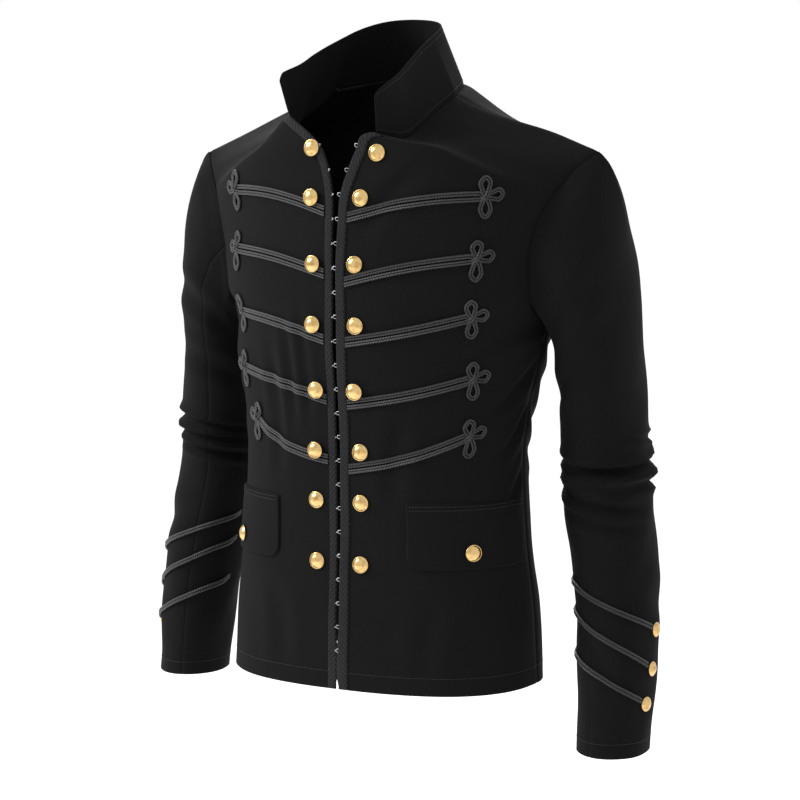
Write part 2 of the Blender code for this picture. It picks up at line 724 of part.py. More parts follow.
def build_tape(side, surface, front, material):
    """The tape along a front edge, from the hem to the neck."""
    rows = [TAPE_END] + list(range(1, NECK_ROW)) + [NECK_ROW - TAPE_END]
    low = []
    high = []
    for row in rows:
        i = min(int(row), NECK_ROW - 1)
        s = row - i
        line = front[i] * (1 - s) + front[i + 1] * s
        lengths = np.concatenate([[0.0], np.cumsum(np.linalg.norm(np.diff(line, axis=0), axis=1))])
        for across in (TAPE_INSET, TAPE_WIDTH[side]):
            column = float(np.interp(across, lengths, np.arange(len(lengths))))
            point, normal = surface.at(row, column)
            low.append(point + normal * REST_GAP)
            high.append(point + normal * (REST_GAP + TAPE_THICK))
    return strip_object("front_tape_" + side, low, high, len(rows), material)


def build_button(name, point, normal, radius, rise, material):
    """A domed button, with its back a little above the cloth that it is sewn to."""
    profile = [
        (radius * BUTTON_BACK_SHARE, 0.0),
        (radius, BUTTON_RIM),
        (radius * BUTTON_SHOULDER, BUTTON_RIM + BUTTON_DOME * BUTTON_SHOULDER_RISE),
    ]
    points = []
    for distance, up in profile:
        for k in range(BUTTON_SIDES):
            angle = 2.0 * math.pi * k / BUTTON_SIDES
            points.append((distance * math.cos(angle), distance * math.sin(angle), up))
    points.append((0.0, 0.0, BUTTON_RIM + BUTTON_DOME))
    top = len(points) - 1
    faces = [tuple(range(BUTTON_SIDES))[::-1]]
    for ring in range(len(profile) - 1):
        for k in range(BUTTON_SIDES):
            following = (k + 1) % BUTTON_SIDES
            faces.append((ring * BUTTON_SIDES + k, ring * BUTTON_SIDES + following,
                          (ring + 1) * BUTTON_SIDES + following, (ring + 1) * BUTTON_SIDES + k))
    last = (len(profile) - 1) * BUTTON_SIDES
    for k in range(BUTTON_SIDES):
        faces.append((last + k, last + (k + 1) % BUTTON_SIDES, top))
    item = mesh_object(name, points, faces, material)
    item.rotation_mode = "QUATERNION"
    item.rotation_quaternion = Vector(normal).to_track_quat("Z", "Y")
    item.location = Vector(point + normal * rise)
    return item


def build_flap(side, surface, material):
    """A pocket flap with rounded lower corners, sewn along its top."""
    outline = [(FLAP_TO, FLAP_TOP), (FLAP_FROM, FLAP_TOP)]
    for across, begin in ((FLAP_FROM + FLAP_CORNER, math.pi), (FLAP_TO - FLAP_CORNER, 1.5 * math.pi)):
        for k in range(FLAP_CORNER_STEPS + 1):
            angle = begin + math.pi / 2.0 * k / FLAP_CORNER_STEPS
            outline.append((across + FLAP_CORNER * math.cos(angle),
                            FLAP_BOTTOM + FLAP_CORNER + FLAP_CORNER * math.sin(angle)))

    def keep(across, height):
        sideways = max(FLAP_FROM + FLAP_CORNER - across, across - FLAP_TO + FLAP_CORNER, 0.0)
        down = max(FLAP_BOTTOM + FLAP_CORNER - height, 0.0)
        return height < FLAP_TOP and math.hypot(sideways, down) < FLAP_CORNER

    def same(across, height):
        return across, height

    edges = loop_edges(0, len(outline))
    return laid_shape("pocket_flap_" + side, surface, same, same, outline, edges, keep, FLAP_THICK, material)


def cuff_place(sleeve, up, turn):
    """A row and a column of the sleeve's grid, at a height above the cuff and a turn to the front."""
    steps = sleeve.shape[1]
    column = (180.0 - turn) / 360.0 * steps
    i = int(math.floor(column)) % steps
    t = column - math.floor(column)
    line = sleeve[:, i] * (1 - t) + sleeve[:, (i + 1) % steps] * t
    lengths = np.concatenate([[0.0], np.cumsum(np.linalg.norm(np.diff(line[::-1], axis=0), axis=1))])
    row = len(line) - 1 - float(np.interp(up, lengths, np.arange(len(lengths))))
    return row, column


def build_cuff_braid(name, row, sleeve, surface, material):
    """A double cord that runs down round the sleeve to its button."""
    column_turn = 360.0 / sleeve.shape[1]
    last = row.button_turn + CUFF_BRAID_END_GAP
    marks = [k * column_turn for k in range(sleeve.shape[1])]
    between = [turn for turn in marks if last + MARK_TURN < turn < CUFF_BRAID_START_TURN - MARK_TURN]
    turns = [CUFF_BRAID_START_TURN] + between[::-1] + [last]
    low = []
    high = []
    for turn in turns:
        share = (CUFF_BRAID_START_TURN - turn) / (CUFF_BRAID_START_TURN - row.button_turn)
        up = row.start_up + (row.button_up - row.start_up) * share ** CUFF_BRAID_CURVE
        for sign in (-1, 1):
            place = cuff_place(sleeve, up + sign * CUFF_BRAID_WIDTH / 2.0, turn)
            point, normal = surface.at(*place)
            low.append(point + normal * ROUND_GAP)
            high.append(point + normal * (ROUND_GAP + CUFF_BRAID_THICK))
    return strip_object(name, low, high, len(turns), material)


def main():
    clear_scene()
    cloth = finish("black twill", CLOTH, roughness=0.85)
    braid = finish("braid", BRAID, roughness=0.6)
    tape = finish("tape", TAPE, roughness=0.75)
    gold = finish("gilt metal", GOLD, roughness=0.25, metallic=1.0)

    fronts = {name: panel_grid(FRONT_SECTIONS, PANEL_COLUMNS, side) for name, side in SIDES.items()}
    backs = {name: panel_grid(BACK_SECTIONS, PANEL_COLUMNS, side) for name, side in SIDES.items()}
    for name in SIDES:
        join_side_seam(fronts[name], backs[name])
    sleeves = {name: sleeve_grid(armhole_of(fronts[name], backs[name]), side) for name, side in SIDES.items()}
    collar = collar_grid(fronts["left"], backs["left"], backs["right"], fronts["right"])

    sheets = [back_sheet(backs["left"], backs["right"]), grid_sheet("collar", collar, np.zeros(3))]
    steps = 2 * ARM_ROWS
    under = [k % steps for k in range(-UNDER_STEPS, UNDER_STEPS + 1)]
    top = list(range(UNDER_STEPS, steps - UNDER_STEPS + 1))
    for name in SIDES:
        sheets.append(grid_sheet("front_" + name, fronts[name], np.zeros(3)))
        arm_middle = sleeves[name][SLEEVE_ROWS // 2].mean(axis=0)
        sheets.append(grid_sheet("sleeve_top_" + name, sleeves[name][:, top], arm_middle))
        sheets.append(grid_sheet("sleeve_under_" + name, sleeves[name][:, under], arm_middle))
    share_seam_normals(sheets)
    for sheet in sheets:
        draw_back(sheet, SEAM_GAP / 2.0)
        walled(sheet, cloth)

    for name in SIDES:
        surface = Surface(fronts[name], away_from(np.zeros(3)))
        surface.draw_chart()
        build_tape(name, surface, fronts[name], tape)
        build_flap(name, surface, cloth)
        for k, frog in enumerate(FROGS[name]):
            build_frog(f"frog_{name}_{k + 1}", frog, surface, TAPE_WIDTH[name], braid)
        for k, row in enumerate(FRONT_BUTTONS[name]):
            point, normal = surface.place(row.across, row.z)
            build_button(f"button_{name}_{k + 1}", point, normal, BUTTON_RADIUS, row.rise, gold)
        flap_middle = (FLAP_FROM + FLAP_TO) / 2.0
        point, normal = surface.place(flap_middle, FLAP_BOTTOM + FLAP_BUTTON_UP)
        build_button(f"flap_button_{name}", point, normal, BUTTON_RADIUS, FLAP_BUTTON_RISE, gold)
        sleeve = sleeves[name]
        closed = np.concatenate([sleeve, sleeve[:, :1]], axis=1)
        arm = Surface(closed, away_from(sleeve[SLEEVE_ROWS // 2].mean(axis=0)))
        for k, row in enumerate(CUFF_ROWS):
            build_cuff_braid(f"cuff_braid_{name}_{k + 1}", row, sleeve, arm, braid)
            point, normal = arm.at(*cuff_place(sleeve, row.button_up, row.button_turn))
            build_button(f"cuff_button_{name}_{k + 1}", point, normal, CUFF_BUTTON_RADIUS, BUTTON_CLEAR, gold)


main()
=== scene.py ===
"""The looks of a napoleon jacket, worn, with nobody in it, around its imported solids.

Metres, +Z up. The front faces -Y and the wearer's left is +X.
"""

import math
from collections import namedtuple

import bpy
import numpy as np
from mathutils import Matrix, Vector


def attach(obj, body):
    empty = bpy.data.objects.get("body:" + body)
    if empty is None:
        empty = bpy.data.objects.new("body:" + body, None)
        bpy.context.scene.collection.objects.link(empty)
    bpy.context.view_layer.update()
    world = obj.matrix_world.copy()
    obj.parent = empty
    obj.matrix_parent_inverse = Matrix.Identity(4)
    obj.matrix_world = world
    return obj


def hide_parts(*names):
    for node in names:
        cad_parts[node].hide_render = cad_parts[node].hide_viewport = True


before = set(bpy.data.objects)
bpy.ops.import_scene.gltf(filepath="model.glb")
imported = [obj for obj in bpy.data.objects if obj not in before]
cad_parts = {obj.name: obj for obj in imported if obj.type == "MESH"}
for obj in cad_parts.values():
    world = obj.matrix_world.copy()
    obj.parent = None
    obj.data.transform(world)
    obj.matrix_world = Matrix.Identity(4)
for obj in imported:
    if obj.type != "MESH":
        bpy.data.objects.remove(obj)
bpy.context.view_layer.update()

# Camera
VIEW_TURN = math.radians(27.0)
VIEW_PITCH = math.radians(6.4)
VIEW_DISTANCE = 2.4
VIEW_HEIGHT = -0.05
VIEW_SIDEWAYS = 0.0108
LENS_MM = 100.0
SENSOR_MM = 36.0

# Cloth
WALL = 0.0013
EDGE_ROUND = 0.0006
REST = 0.0004

# Rows and columns of the cloth
LOW_STEPS = 100
ARM_STEPS = 72
NEAR_SHARES = (0.15, 0.40, 0.70)
LEVELS = np.concatenate([
    [0.0],
    np.array(NEAR_SHARES) / LOW_STEPS,
    np.linspace(0.0, 1.0, LOW_STEPS + 1)[1:],
    np.linspace(1.0, 2.0, ARM_STEPS + 1)[1:-1],
    2.0 - np.array(NEAR_SHARES[::-1]) / ARM_STEPS,
    [2.0],
])
UNDERARM_ROW = len(NEAR_SHARES) + LOW_STEPS
SPLIT_ROW = UNDERARM_ROW + ARM_STEPS * 5 // 12
NECK_ROW = UNDERARM_ROW + ARM_STEPS * 8 // 12
TOP_ROW = len(LEVELS) - 1
PANEL_COLUMNS = 64
PANEL_WIDTH = 0.25
SLEEVE_LENGTH = 0.58
SLEEVE_ROWS = 170
SLEEVE_ROW_POWER = 1.12
COLLAR_ROWS = 22
COLLAR_COLUMNS = 140
FINE_STEPS = 160
NEAR_EDGE = (0.0, 0.0006, 0.0016, 0.0030, 0.0048)

# How the neck sits: turned towards the wearer's right, and a little lower on the left
NECK_TURN = math.radians(7.8)
NECK_ROLL = 0.06
NECK_FRONT_ROLL = 0.12
NECK_FRONT_Y = (0.02, 0.09)
NECK_TURN_Z = (-0.05, -0.015)
NECK_TURN_X = (0.09, 0.20)
OPEN_SHIFT = 0.002
OPEN_SHIFT_Z = (-0.105, -0.060, -0.035, -0.020)
OPEN_SHIFT_X = (0.05, 0.12)
OPEN_SHIFT_Y = (0.05, 0.09)


def rows_of(kind, table):
    return tuple(kind(*row) for row in table)


# Levels run from 0 at the hem, past 1 at the underarm, to 2 at the shoulder seam
Section = namedtuple("Section", "level centre_x centre_y centre_z side_x side_y side_z wrap square")
FRONT_SECTIONS = rows_of(Section, (
    (0.00, 0.0019, -0.122, -0.613, 0.177, 0.000, -0.613, 90, 2.35),
    (0.20, 0.0019, -0.120, -0.540, 0.173, 0.000, -0.540, 90, 2.35),
    (0.42, 0.0019, -0.117, -0.455, 0.163, 0.000, -0.455, 90, 2.40),
    (0.64, 0.0019, -0.117, -0.375, 0.159, 0.000, -0.375, 90, 2.35),
    (0.82, 0.0019, -0.121, -0.310, 0.166, 0.001, -0.310, 90, 2.10),
    (1.00, 0.0019, -0.126, -0.240, 0.181, 0.006, -0.240, 86, 2.00),
    (1.20, 0.0019, -0.126, -0.175, 0.181, -0.034, -0.203, 75, 2.00),
    (1.40, 0.0035, -0.121, -0.105, 0.182, -0.041, -0.158, 66, 2.05),
    (1.50, 0.0115, -0.119, -0.068, 0.187, -0.040, -0.134, 60, 2.05),
    (1.583, 0.029, -0.116, -0.035, 0.193, -0.036, -0.115, 55, 2.05),
    (1.667, 0.056, -0.106, -0.022, 0.201, -0.028, -0.098, 50, 2.00),
    (1.73, 0.0660, -0.083, -0.029, 0.2075, -0.021, -0.0875, 44, 2.00),
    (1.83, 0.0730, -0.050, -0.017, 0.219, -0.010, -0.070, 35, 2.00),
    (2.00, 0.0790, 0.010, 0.014, 0.236, 0.014, -0.050, 12, 2.00),
))
BACK_SECTIONS = rows_of(Section, (
    (0.00, 0.0000, 0.106, -0.613, 0.177, 0.000, -0.613, 90, 2.00),
    (0.20, 0.0000, 0.104, -0.540, 0.173, 0.000, -0.540, 90, 2.00),
    (0.42, 0.0000, 0.099, -0.455, 0.163, 0.000, -0.455, 90, 2.00),
    (0.64, 0.0000, 0.097, -0.375, 0.159, 0.000, -0.375, 90, 2.00),
    (0.82, 0.0000, 0.109, -0.310, 0.166, 0.001, -0.310, 90, 2.10),
    (1.00, 0.0000, 0.122, -0.240, 0.181, 0.006, -0.240, 86, 2.20),
    (1.20, 0.0000, 0.129, -0.160, 0.180, 0.052, -0.200, 66, 2.20),
    (1.40, 0.0000, 0.124, -0.080, 0.184, 0.068, -0.150, 60, 2.20),
    (1.667, 0.000, 0.080, 0.028, 0.205, 0.062, -0.098, 48, 2.20),
    (1.83, 0.0500, 0.066, 0.026, 0.222, 0.042, -0.068, 32, 2.00),
    (2.00, 0.0790, 0.010, 0.014, 0.236, 0.014, -0.050, 12, 2.00),
))

SleeveRing = namedtuple("SleeveRing", "level outer_x outer_z inner_x inner_z middle_y half_depth own_shape")
SLEEVE_RINGS = rows_of(SleeveRing, (
    (0.00, 0.236, -0.050, 0.181, -0.240, 0.012, 0.062, 0.0),
    (0.06, 0.249, -0.070, 0.189, -0.248, 0.018, 0.070, 0.45),
    (0.16, 0.262, -0.130, 0.190, -0.262, 0.028, 0.070, 0.9),
    (0.28, 0.269, -0.205, 0.190, -0.290, 0.036, 0.065, 1.0),
    (0.42, 0.276, -0.300, 0.190, -0.340, 0.042, 0.060, 1.0),
    (0.58, 0.284, -0.402, 0.193, -0.417, 0.044, 0.056, 1.0),
    (0.72, 0.295, -0.488, 0.208, -0.493, 0.036, 0.053, 1.0),
    (0.87, 0.300, -0.579, 0.218, -0.581, 0.022, 0.049, 1.0),
    (1.00, 0.297, -0.660, 0.222, -0.660, 0.010, 0.045, 1.0),
))
CUFF_DROP = 0.017

# Stand collar: its height and how far its top leans in, by the share of the way between its front ends
CollarRib = namedtuple("CollarRib", "along height lean")
COLLAR_RIBS = rows_of(CollarRib, (
    (0.00, 0.0407, -0.0106),
    (0.06, 0.0657, 0.0107),
    (0.12, 0.0729, 0.0223),
    (0.20, 0.0671, 0.0259),
    (0.30, 0.0602, 0.0265),
    (0.40, 0.0631, 0.0179),
    (0.50, 0.0641, 0.0079),
))
# The collar's front corners are rounded this much
COLLAR_CORNER = 0.006
COLLAR_HEIGHT = 0.065
# Bends of its edge shorter than this share of it are evened out, from this far from its ends
COLLAR_SOFT = 0.07
COLLAR_SOFT_FROM = (0.02, 0.09)

TAPE_WIDTH = {"left": 0.0105, "right": 0.0085}
TAPE_THICK = 0.0014
TAPE_INSET = 0.0004
TAPE_CLEAR = 0.0008
# The tape's rise at shares of its width
TAPE_PROFILE = ((0.0, -0.0006), (0.06, -0.0001), (0.2, 0.0), (0.4, 0.0), (0.6, 0.0), (0.8, 0.0),
                (0.94, -0.0001), (1.0, -0.0006))
# Just above the hem the tapes reach this far over the front edges, between these depths
TAPE_OVERHANG = 0.0019
TAPE_CLOSING = (0.545, 0.570)
TAPE_OPENING = (0.600, 0.611)

BUTTON_RADIUS = 0.0089
BUTTON_CLEAR = 0.0006
CUFF_BUTTON_RADIUS = 0.0078
CuffRow = namedtuple("CuffRow", "button_up start_up button_turn")
CUFF_ROWS = rows_of(CuffRow, (
    (0.130, 0.178, 4),
    (0.090, 0.147, 10),
    (0.054, 0.102, 17),
))

BRAID_WIDTH = 0.0110
CORD_RADIUS = 0.00125
Frog = namedtuple("Frog", "start_z rise length bow")
FROGS = {
    "left": rows_of(Frog, (
        (-0.118, 0.022, 0.158, 0.0056),
        (-0.184, 0.025, 0.150, 0.0032),
        (-0.246, 0.027, 0.145, -0.0017),
        (-0.311, 0.028, 0.146, -0.0025),
        (-0.379, 0.037, 0.141, -0.0050),
    )),
    "right": rows_of(Frog, (
        (-0.112, 0.021, 0.147, 0.0067),
        (-0.176, 0.022, 0.148, 0.0050),
        (-0.244, 0.023, 0.145, 0.0042),
        (-0.307, 0.026, 0.145, 0.0024),
        (-0.370, 0.035, 0.118, -0.0060),
    )),
}
# Front buttons: the top right one reaches onto the tape, and some lie on the start of a frog
ON_TAPE = TAPE_THICK + 2.0 * BUTTON_CLEAR
ON_BRAID = 2.0 * BUTTON_CLEAR + CORD_RADIUS * 2.0
FrontButton = namedtuple("FrontButton", "z across rise")
FRONT_BUTTONS = {
    "left": rows_of(FrontButton, (
        (-0.052, 0.0448, BUTTON_CLEAR),
        (-0.098, 0.0285, BUTTON_CLEAR),
        (-0.166, 0.0240, BUTTON_CLEAR),
        (-0.229, 0.0240, BUTTON_CLEAR),
        (-0.297, 0.0225, ON_BRAID),
        (-0.361, 0.0255, BUTTON_CLEAR),
        (-0.414, 0.0262, BUTTON_CLEAR),
        (-0.479, 0.0262, BUTTON_CLEAR),
    )),
    "right": rows_of(FrontButton, (
        (-0.047, 0.0290, ON_TAPE),
        (-0.098, 0.0285, ON_BRAID),
        (-0.166, 0.0240, ON_BRAID),
        (-0.229, 0.0240, ON_BRAID),
        (-0.297, 0.0225, ON_BRAID),
        (-0.361, 0.0255, ON_BRAID),
        (-0.414, 0.0262, BUTTON_CLEAR),
        (-0.479, 0.0262, BUTTON_CLEAR),
    )),
}
CUFF_BRAID_START_TURN = 142
# Where the ends of the cuff braids are in the seam, and how many degrees before that they start to sink
CUFF_BRAID_SHOWN_TURN = {"left": 156, "right": 168}
CUFF_BRAID_SINK = 12
CUFF_BRAID_END_GAP = 11.5
CUFF_BRAID_CURVE = 1.15

FLAP_FROM = 0.076
FLAP_TO = 0.214
FLAP_TOP = -0.413
FLAP_BOTTOM = -0.481
FLAP_CORNER = 0.014
FLAP_THICK = 0.0024
FLAP_BUTTON_UP = 0.017
FLAP_ROWS = 34
FLAP_COLUMNS = 60
# The flap's edge is rounded over this distance and drops this much, and its sewn top drops more
FLAP_ROUND = 0.0018
FLAP_EDGE_DROP = 0.0010
FLAP_TOP_DROP = 0.0016
FLAP_TOP_REACH = 0.002
FLAP_WALL_SHARE = 0.62

SIDES = {"left": 1, "right": -1}


def unit(vectors):
    lengths = np.linalg.norm(vectors, axis=-1, keepdims=True)
    return vectors / np.maximum(lengths, 1e-12)


def ramp(value, start, end):
    """0 at the start, 1 at the end, with a smooth rise between."""
    t = np.clip((value - start) / (end - start), 0.0, 1.0)
    return t * t * (3.0 - 2.0 * t)


def track(stations, values, at):
    """Values at the asked stations, on a smooth curve through the table's rows that never overshoots."""
    stations = np.asarray(stations, float)
    values = np.asarray(values, float)
    at = np.asarray(at, float)
    steps = np.diff(stations)
    slopes = np.diff(values) / steps
    tangents = np.zeros_like(values)
    tangents[0] = slopes[0]
    tangents[-1] = slopes[-1]
    before = slopes[:-1]
    after = slopes[1:]
    same_way = before * after > 0
    total = np.where(same_way, before + after, 1.0)
    tangents[1:-1] = np.where(same_way, 2.0 * before * after / total, 0.0)
    piece = np.clip(np.searchsorted(stations, at, side="right") - 1, 0, len(steps) - 1)
    t = (at - stations[piece]) / steps[piece]
    leave = tangents[piece] * steps[piece]
    arrive = tangents[piece + 1] * steps[piece]
    curve = values[piece] * (1 + 2 * t) * (1 - t) ** 2 + values[piece + 1] * t * t * (3 - 2 * t)
    return curve + leave * t * (1 - t) ** 2 - arrive * t * t * (1 - t)


def columns_of(table, at):
    """Every column of a table, read at the asked levels."""
    levels = [row.level for row in table]
    return {name: track(levels, [getattr(row, name) for row in table], at) for name in table[0]._fields[1:]}


def path_lengths(path):
    return np.concatenate([[0.0], np.cumsum(np.linalg.norm(np.diff(path, axis=0), axis=1))])


def read_along(path, lengths, wanted):
    """The values of each column of a path, at the wanted lengths along it."""
    return np.stack([np.interp(wanted, lengths, path[:, k]) for k in range(path.shape[1])], axis=1)


def shares_of(length, count, start_edge, end_edge):
    """Shares of a length, even but for closer ones at the edges that are rolled over."""
    near = np.array(NEAR_EDGE) / length
    start = near if start_edge else near[:1]
    end = 1.0 - near[::-1] if end_edge else 1.0 - near[:1]
    middle = np.linspace(start[-1], end[0], count + 2 - len(start) - len(end) + 1)
    return np.concatenate([start, middle[1:-1], end])


def points_at(path, shares):
    lengths = path_lengths(path)
    return read_along(path, lengths, np.asarray(shares) * lengths[-1])


def neck_sits(points):
    """Turns the neck on the shoulders and shifts the open corners below it."""
    x, y, z = points[..., 0], points[..., 1], points[..., 2]
    shift = ramp(z, *OPEN_SHIFT_Z[:2]) * (1.0 - ramp(z, *OPEN_SHIFT_Z[2:]))
    shift = shift * (1.0 - ramp(np.abs(x), *OPEN_SHIFT_X)) * ramp(-y, *OPEN_SHIFT_Y)
    x = x + OPEN_SHIFT * shift
    amount = ramp(z, *NECK_TURN_Z) * (1.0 - ramp(np.abs(x), *NECK_TURN_X))
    angle = -NECK_TURN * amount
    turned_x = x * np.cos(angle) - y * np.sin(angle)
    turned_y = x * np.sin(angle) + y * np.cos(angle)
    roll = NECK_ROLL + NECK_FRONT_ROLL * ramp(-y, *NECK_FRONT_Y)
    return np.stack([turned_x, turned_y, z - roll * x * amount], axis=-1)


def panel_grid(sections, side, shares):
    """Rows of points from the centre of the body to its side, one row for each level."""
    read = columns_of(sections, LEVELS)
    fine = np.linspace(0.0, 1.0, FINE_STEPS + 1)
    rows = []
    for i in range(TOP_ROW + 1):
        wrap = math.radians(min(read["wrap"][i], 90.0))
        power = 2.0 / read["square"][i]
        sideways = (np.sin(fine * wrap) / math.sin(wrap)) ** power
        inwards = 1.0 - np.maximum(np.cos(fine * wrap), 0.0) ** power
        inwards = inwards / inwards[-1]
        x = read["centre_x"][i] + (read["side_x"][i] - read["centre_x"][i]) * sideways
        y = read["centre_y"][i] + (read["side_y"][i] - read["centre_y"][i]) * inwards
        z = read["centre_z"][i] + (read["side_z"][i] - read["centre_z"][i]) * sideways
        rows.append(points_at(np.stack([x * side, y, z], axis=1), shares))
    return neck_sits(np.array(rows))


def join_side_seam(front, back):
    """Brings the two panels to one side seam and one shoulder seam."""
    for seam in (np.s_[:UNDERARM_ROW + 1, -1], np.s_[TOP_ROW, :]):
        middle = (front[seam] + back[seam]) / 2.0
        front[seam] = middle
        back[seam] = middle


def armhole_of(front, back):
    """The armhole, from the underarm up the front to the shoulder and down the back to the underarm."""
    return np.concatenate([front[UNDERARM_ROW:, -1], back[UNDERARM_ROW:, -1][::-1][1:-1]])


def sleeve_turns():
    """The angle of each armhole point, from the underarm over the front: pi is the underarm."""
    front_half = math.pi * (2.0 - LEVELS[UNDERARM_ROW:])
    return np.concatenate([front_half, -front_half[::-1][1:-1]])


def sleeve_grid(armhole, side, shares):
    """Rings of points from the armhole to the cuff, each from the underarm up the front."""
    levels = shares ** SLEEVE_ROW_POWER
    read = columns_of(SLEEVE_RINGS, levels)
    turns = sleeve_turns()
    first_middle = (armhole.max(axis=0) + armhole.min(axis=0)) / 2.0
    rings = []
    for i in range(len(levels)):
        drop = CUFF_DROP * levels[i] * side
        outer = np.array([read["outer_x"][i] * side, read["middle_y"][i], read["outer_z"][i] - drop])
        inner = np.array([read["inner_x"][i] * side, read["middle_y"][i], read["inner_z"][i] - drop])
        middle = (outer + inner) / 2.0
        half = (outer - inner) / 2.0
        front = np.array([0.0, -read["half_depth"][i], 0.0])
        ring = middle + np.outer(np.cos(turns), half) + np.outer(np.sin(turns), front)
        carried = armhole - first_middle + middle
        share = read["own_shape"][i]
        rings.append(ring * share + carried * (1.0 - share))
    return np.array(rings)


def softened(values, along, from_end):
    """Points along the collar's edge with its bends evened out, but for its front ends."""
    weights = np.exp(-(((along[:, None] - along[None, :]) / COLLAR_SOFT) ** 2))
    spacing = np.gradient(along)
    smooth = (weights * spacing) @ values / (weights @ spacing)[:, None]
    share = ramp(from_end, *COLLAR_SOFT_FROM)[:, None]
    return values * (1.0 - share) + smooth * share


def collar_grid(fronts, backs):
    """The collar's points, from its left front end round the back to its right one, bottom row first."""
    seam = np.concatenate([
        fronts["left"][NECK_ROW:, 0],
        backs["left"][NECK_ROW:, 0][::-1][1:],
        backs["right"][NECK_ROW:, 0][1:],
        fronts["right"][NECK_ROW:, 0][::-1][1:],
    ])
    total = path_lengths(seam)[-1]
    along = shares_of(total, COLLAR_COLUMNS, True, True)
    middle = seam.mean(axis=0)
    seam = points_at(seam, along)
    from_end = np.minimum(along, 1.0 - along)
    stations = [rib.along for rib in COLLAR_RIBS]
    height = track(stations, [rib.height for rib in COLLAR_RIBS], from_end)
    lean = track(stations, [rib.lean for rib in COLLAR_RIBS], from_end)
    in_corner = np.clip(COLLAR_CORNER - from_end * total, 0.0, COLLAR_CORNER)
    height = height - (COLLAR_CORNER - np.sqrt(COLLAR_CORNER ** 2 - in_corner ** 2))
    inward = middle - seam
    inward[:, 2] = 0.0
    inward = unit(inward)
    top = seam + inward * lean[:, None]
    top[:, 2] += height
    top = softened(top, along, from_end)
    upward = shares_of(COLLAR_HEIGHT, COLLAR_ROWS, True, True)
    return np.array([seam + (top - seam) * share for share in upward])


def grid_normals(grid, outward_from, closed=False):
    """Outward normals of a grid of points, away from a vertical axis or a point."""
    if closed:
        wrapped = np.concatenate([grid[:, -1:], grid, grid[:, :1]], axis=1)
        across = (wrapped[:, 2:] - wrapped[:, :-2])
    else:
        across = np.gradient(grid, axis=1)
    along = np.gradient(grid, axis=0)
    normals = unit(np.cross(across, along))
    facing = ((grid - outward_from)[..., :2] * normals[..., :2]).sum()
    return normals if facing > 0 else -normals


Crease = namedtuple("Crease", "x1 y1 x2 y2 sag width depth ridge")
# A crease fades out over this share of its length, and its ridges are this many widths off
TAPER = 0.35
RIDGE_OFF = 1.9


def creased(creases, across, height):
    """How far the creases push the cloth out. Each is a trough along a bowed line between two ridges."""
    push = np.zeros_like(across)
    for c in creases:
        length = math.hypot(c.x2 - c.x1, c.y2 - c.y1)
        ux = (c.x2 - c.x1) / length
        uy = (c.y2 - c.y1) / length
        t = ((across - c.x1) * ux + (height - c.y1) * uy) / length
        off = -(across - c.x1) * uy + (height - c.y1) * ux - c.sag * 4.0 * t * (1.0 - t)
        taper = ramp(t, 0.0, TAPER) * (1.0 - ramp(t, 1.0 - TAPER, 1.0))
        trough = np.exp(-((off / c.width) ** 2))
        ridges = np.exp(-(((np.abs(off) - RIDGE_OFF * c.width) / c.width) ** 2))
        push = push + c.depth * taper * (c.ridge * ridges - trough)
    return push


DRIFT_WAVES = 7


def drift(u, v, seed, reach, scale):
    """A broad unevenness of hand-pressed cloth."""
    rng = np.random.default_rng(seed)
    total = np.zeros_like(u)
    for _ in range(DRIFT_WAVES):
        angle = rng.uniform(0.0, math.pi)
        wave = rng.uniform(0.7, 1.8) * 2.0 * math.pi / scale
        phase = rng.uniform(0.0, 2.0 * math.pi)
        total = total + np.sin((u * math.cos(angle) + v * math.sin(angle)) * wave + phase)
    return total * reach / DRIFT_WAVES


# How deep and how wide the cloth sinks at its seams
SEAM_DEPTH = 0.0011
SEAM_WIDTH = 0.0030
NECK_SEAM_DEPTH = 0.0009
SLEEVE_SEAM_DEPTH = 0.0004
SLEEVE_SEAM_WIDTH = 0.0022


def seam_dip(distance, depth=SEAM_DEPTH, width=SEAM_WIDTH):
    """How far the cloth sinks to a seam at a distance from it."""
    return -depth * np.exp(-((distance / width) ** 2))


def grid_faces(rows, columns, closed=False):
    """The four-sided faces of a grid of points, closed round its columns or open."""
    i, j = np.meshgrid(np.arange(rows - 1), np.arange(columns if closed else columns - 1), indexing="ij")
    following = (j + 1) % columns
    return np.stack([i * columns + j, i * columns + following,
                     (i + 1) * columns + following, (i + 1) * columns + j], axis=-1).reshape(-1, 4)


def border_of(faces):
    """The directed edges that only one face has."""
    edges = np.concatenate([faces[:, [k, (k + 1) % 4]] for k in range(4)])
    base = int(faces.max()) + 1
    code = edges[:, 0] * base + edges[:, 1]
    back = edges[:, 1] * base + edges[:, 0]
    return edges[~np.isin(code, back)]


def in_scene(name, data):
    item = bpy.data.objects.new(name, data)
    bpy.context.scene.collection.objects.link(item)
    return item


def mesh_piece(name, points, faces, uv, material):
    """A mesh object from its points, four-sided faces and a place in metres for each point in its UV map."""
    mesh = bpy.data.meshes.new(name)
    mesh.from_pydata(np.asarray(points, float).tolist(), [], np.asarray(faces).tolist())
    layer = mesh.uv_layers.new(name="UVMap")
    corner_points = np.zeros(len(mesh.loops), np.int32)
    mesh.loops.foreach_get("vertex_index", corner_points)
    layer.data.foreach_set("uv", np.asarray(uv, float)[corner_points].astype(np.float32).ravel())
    mesh.materials.append(material)
    mesh.shade_smooth()
    return in_scene(name, mesh)


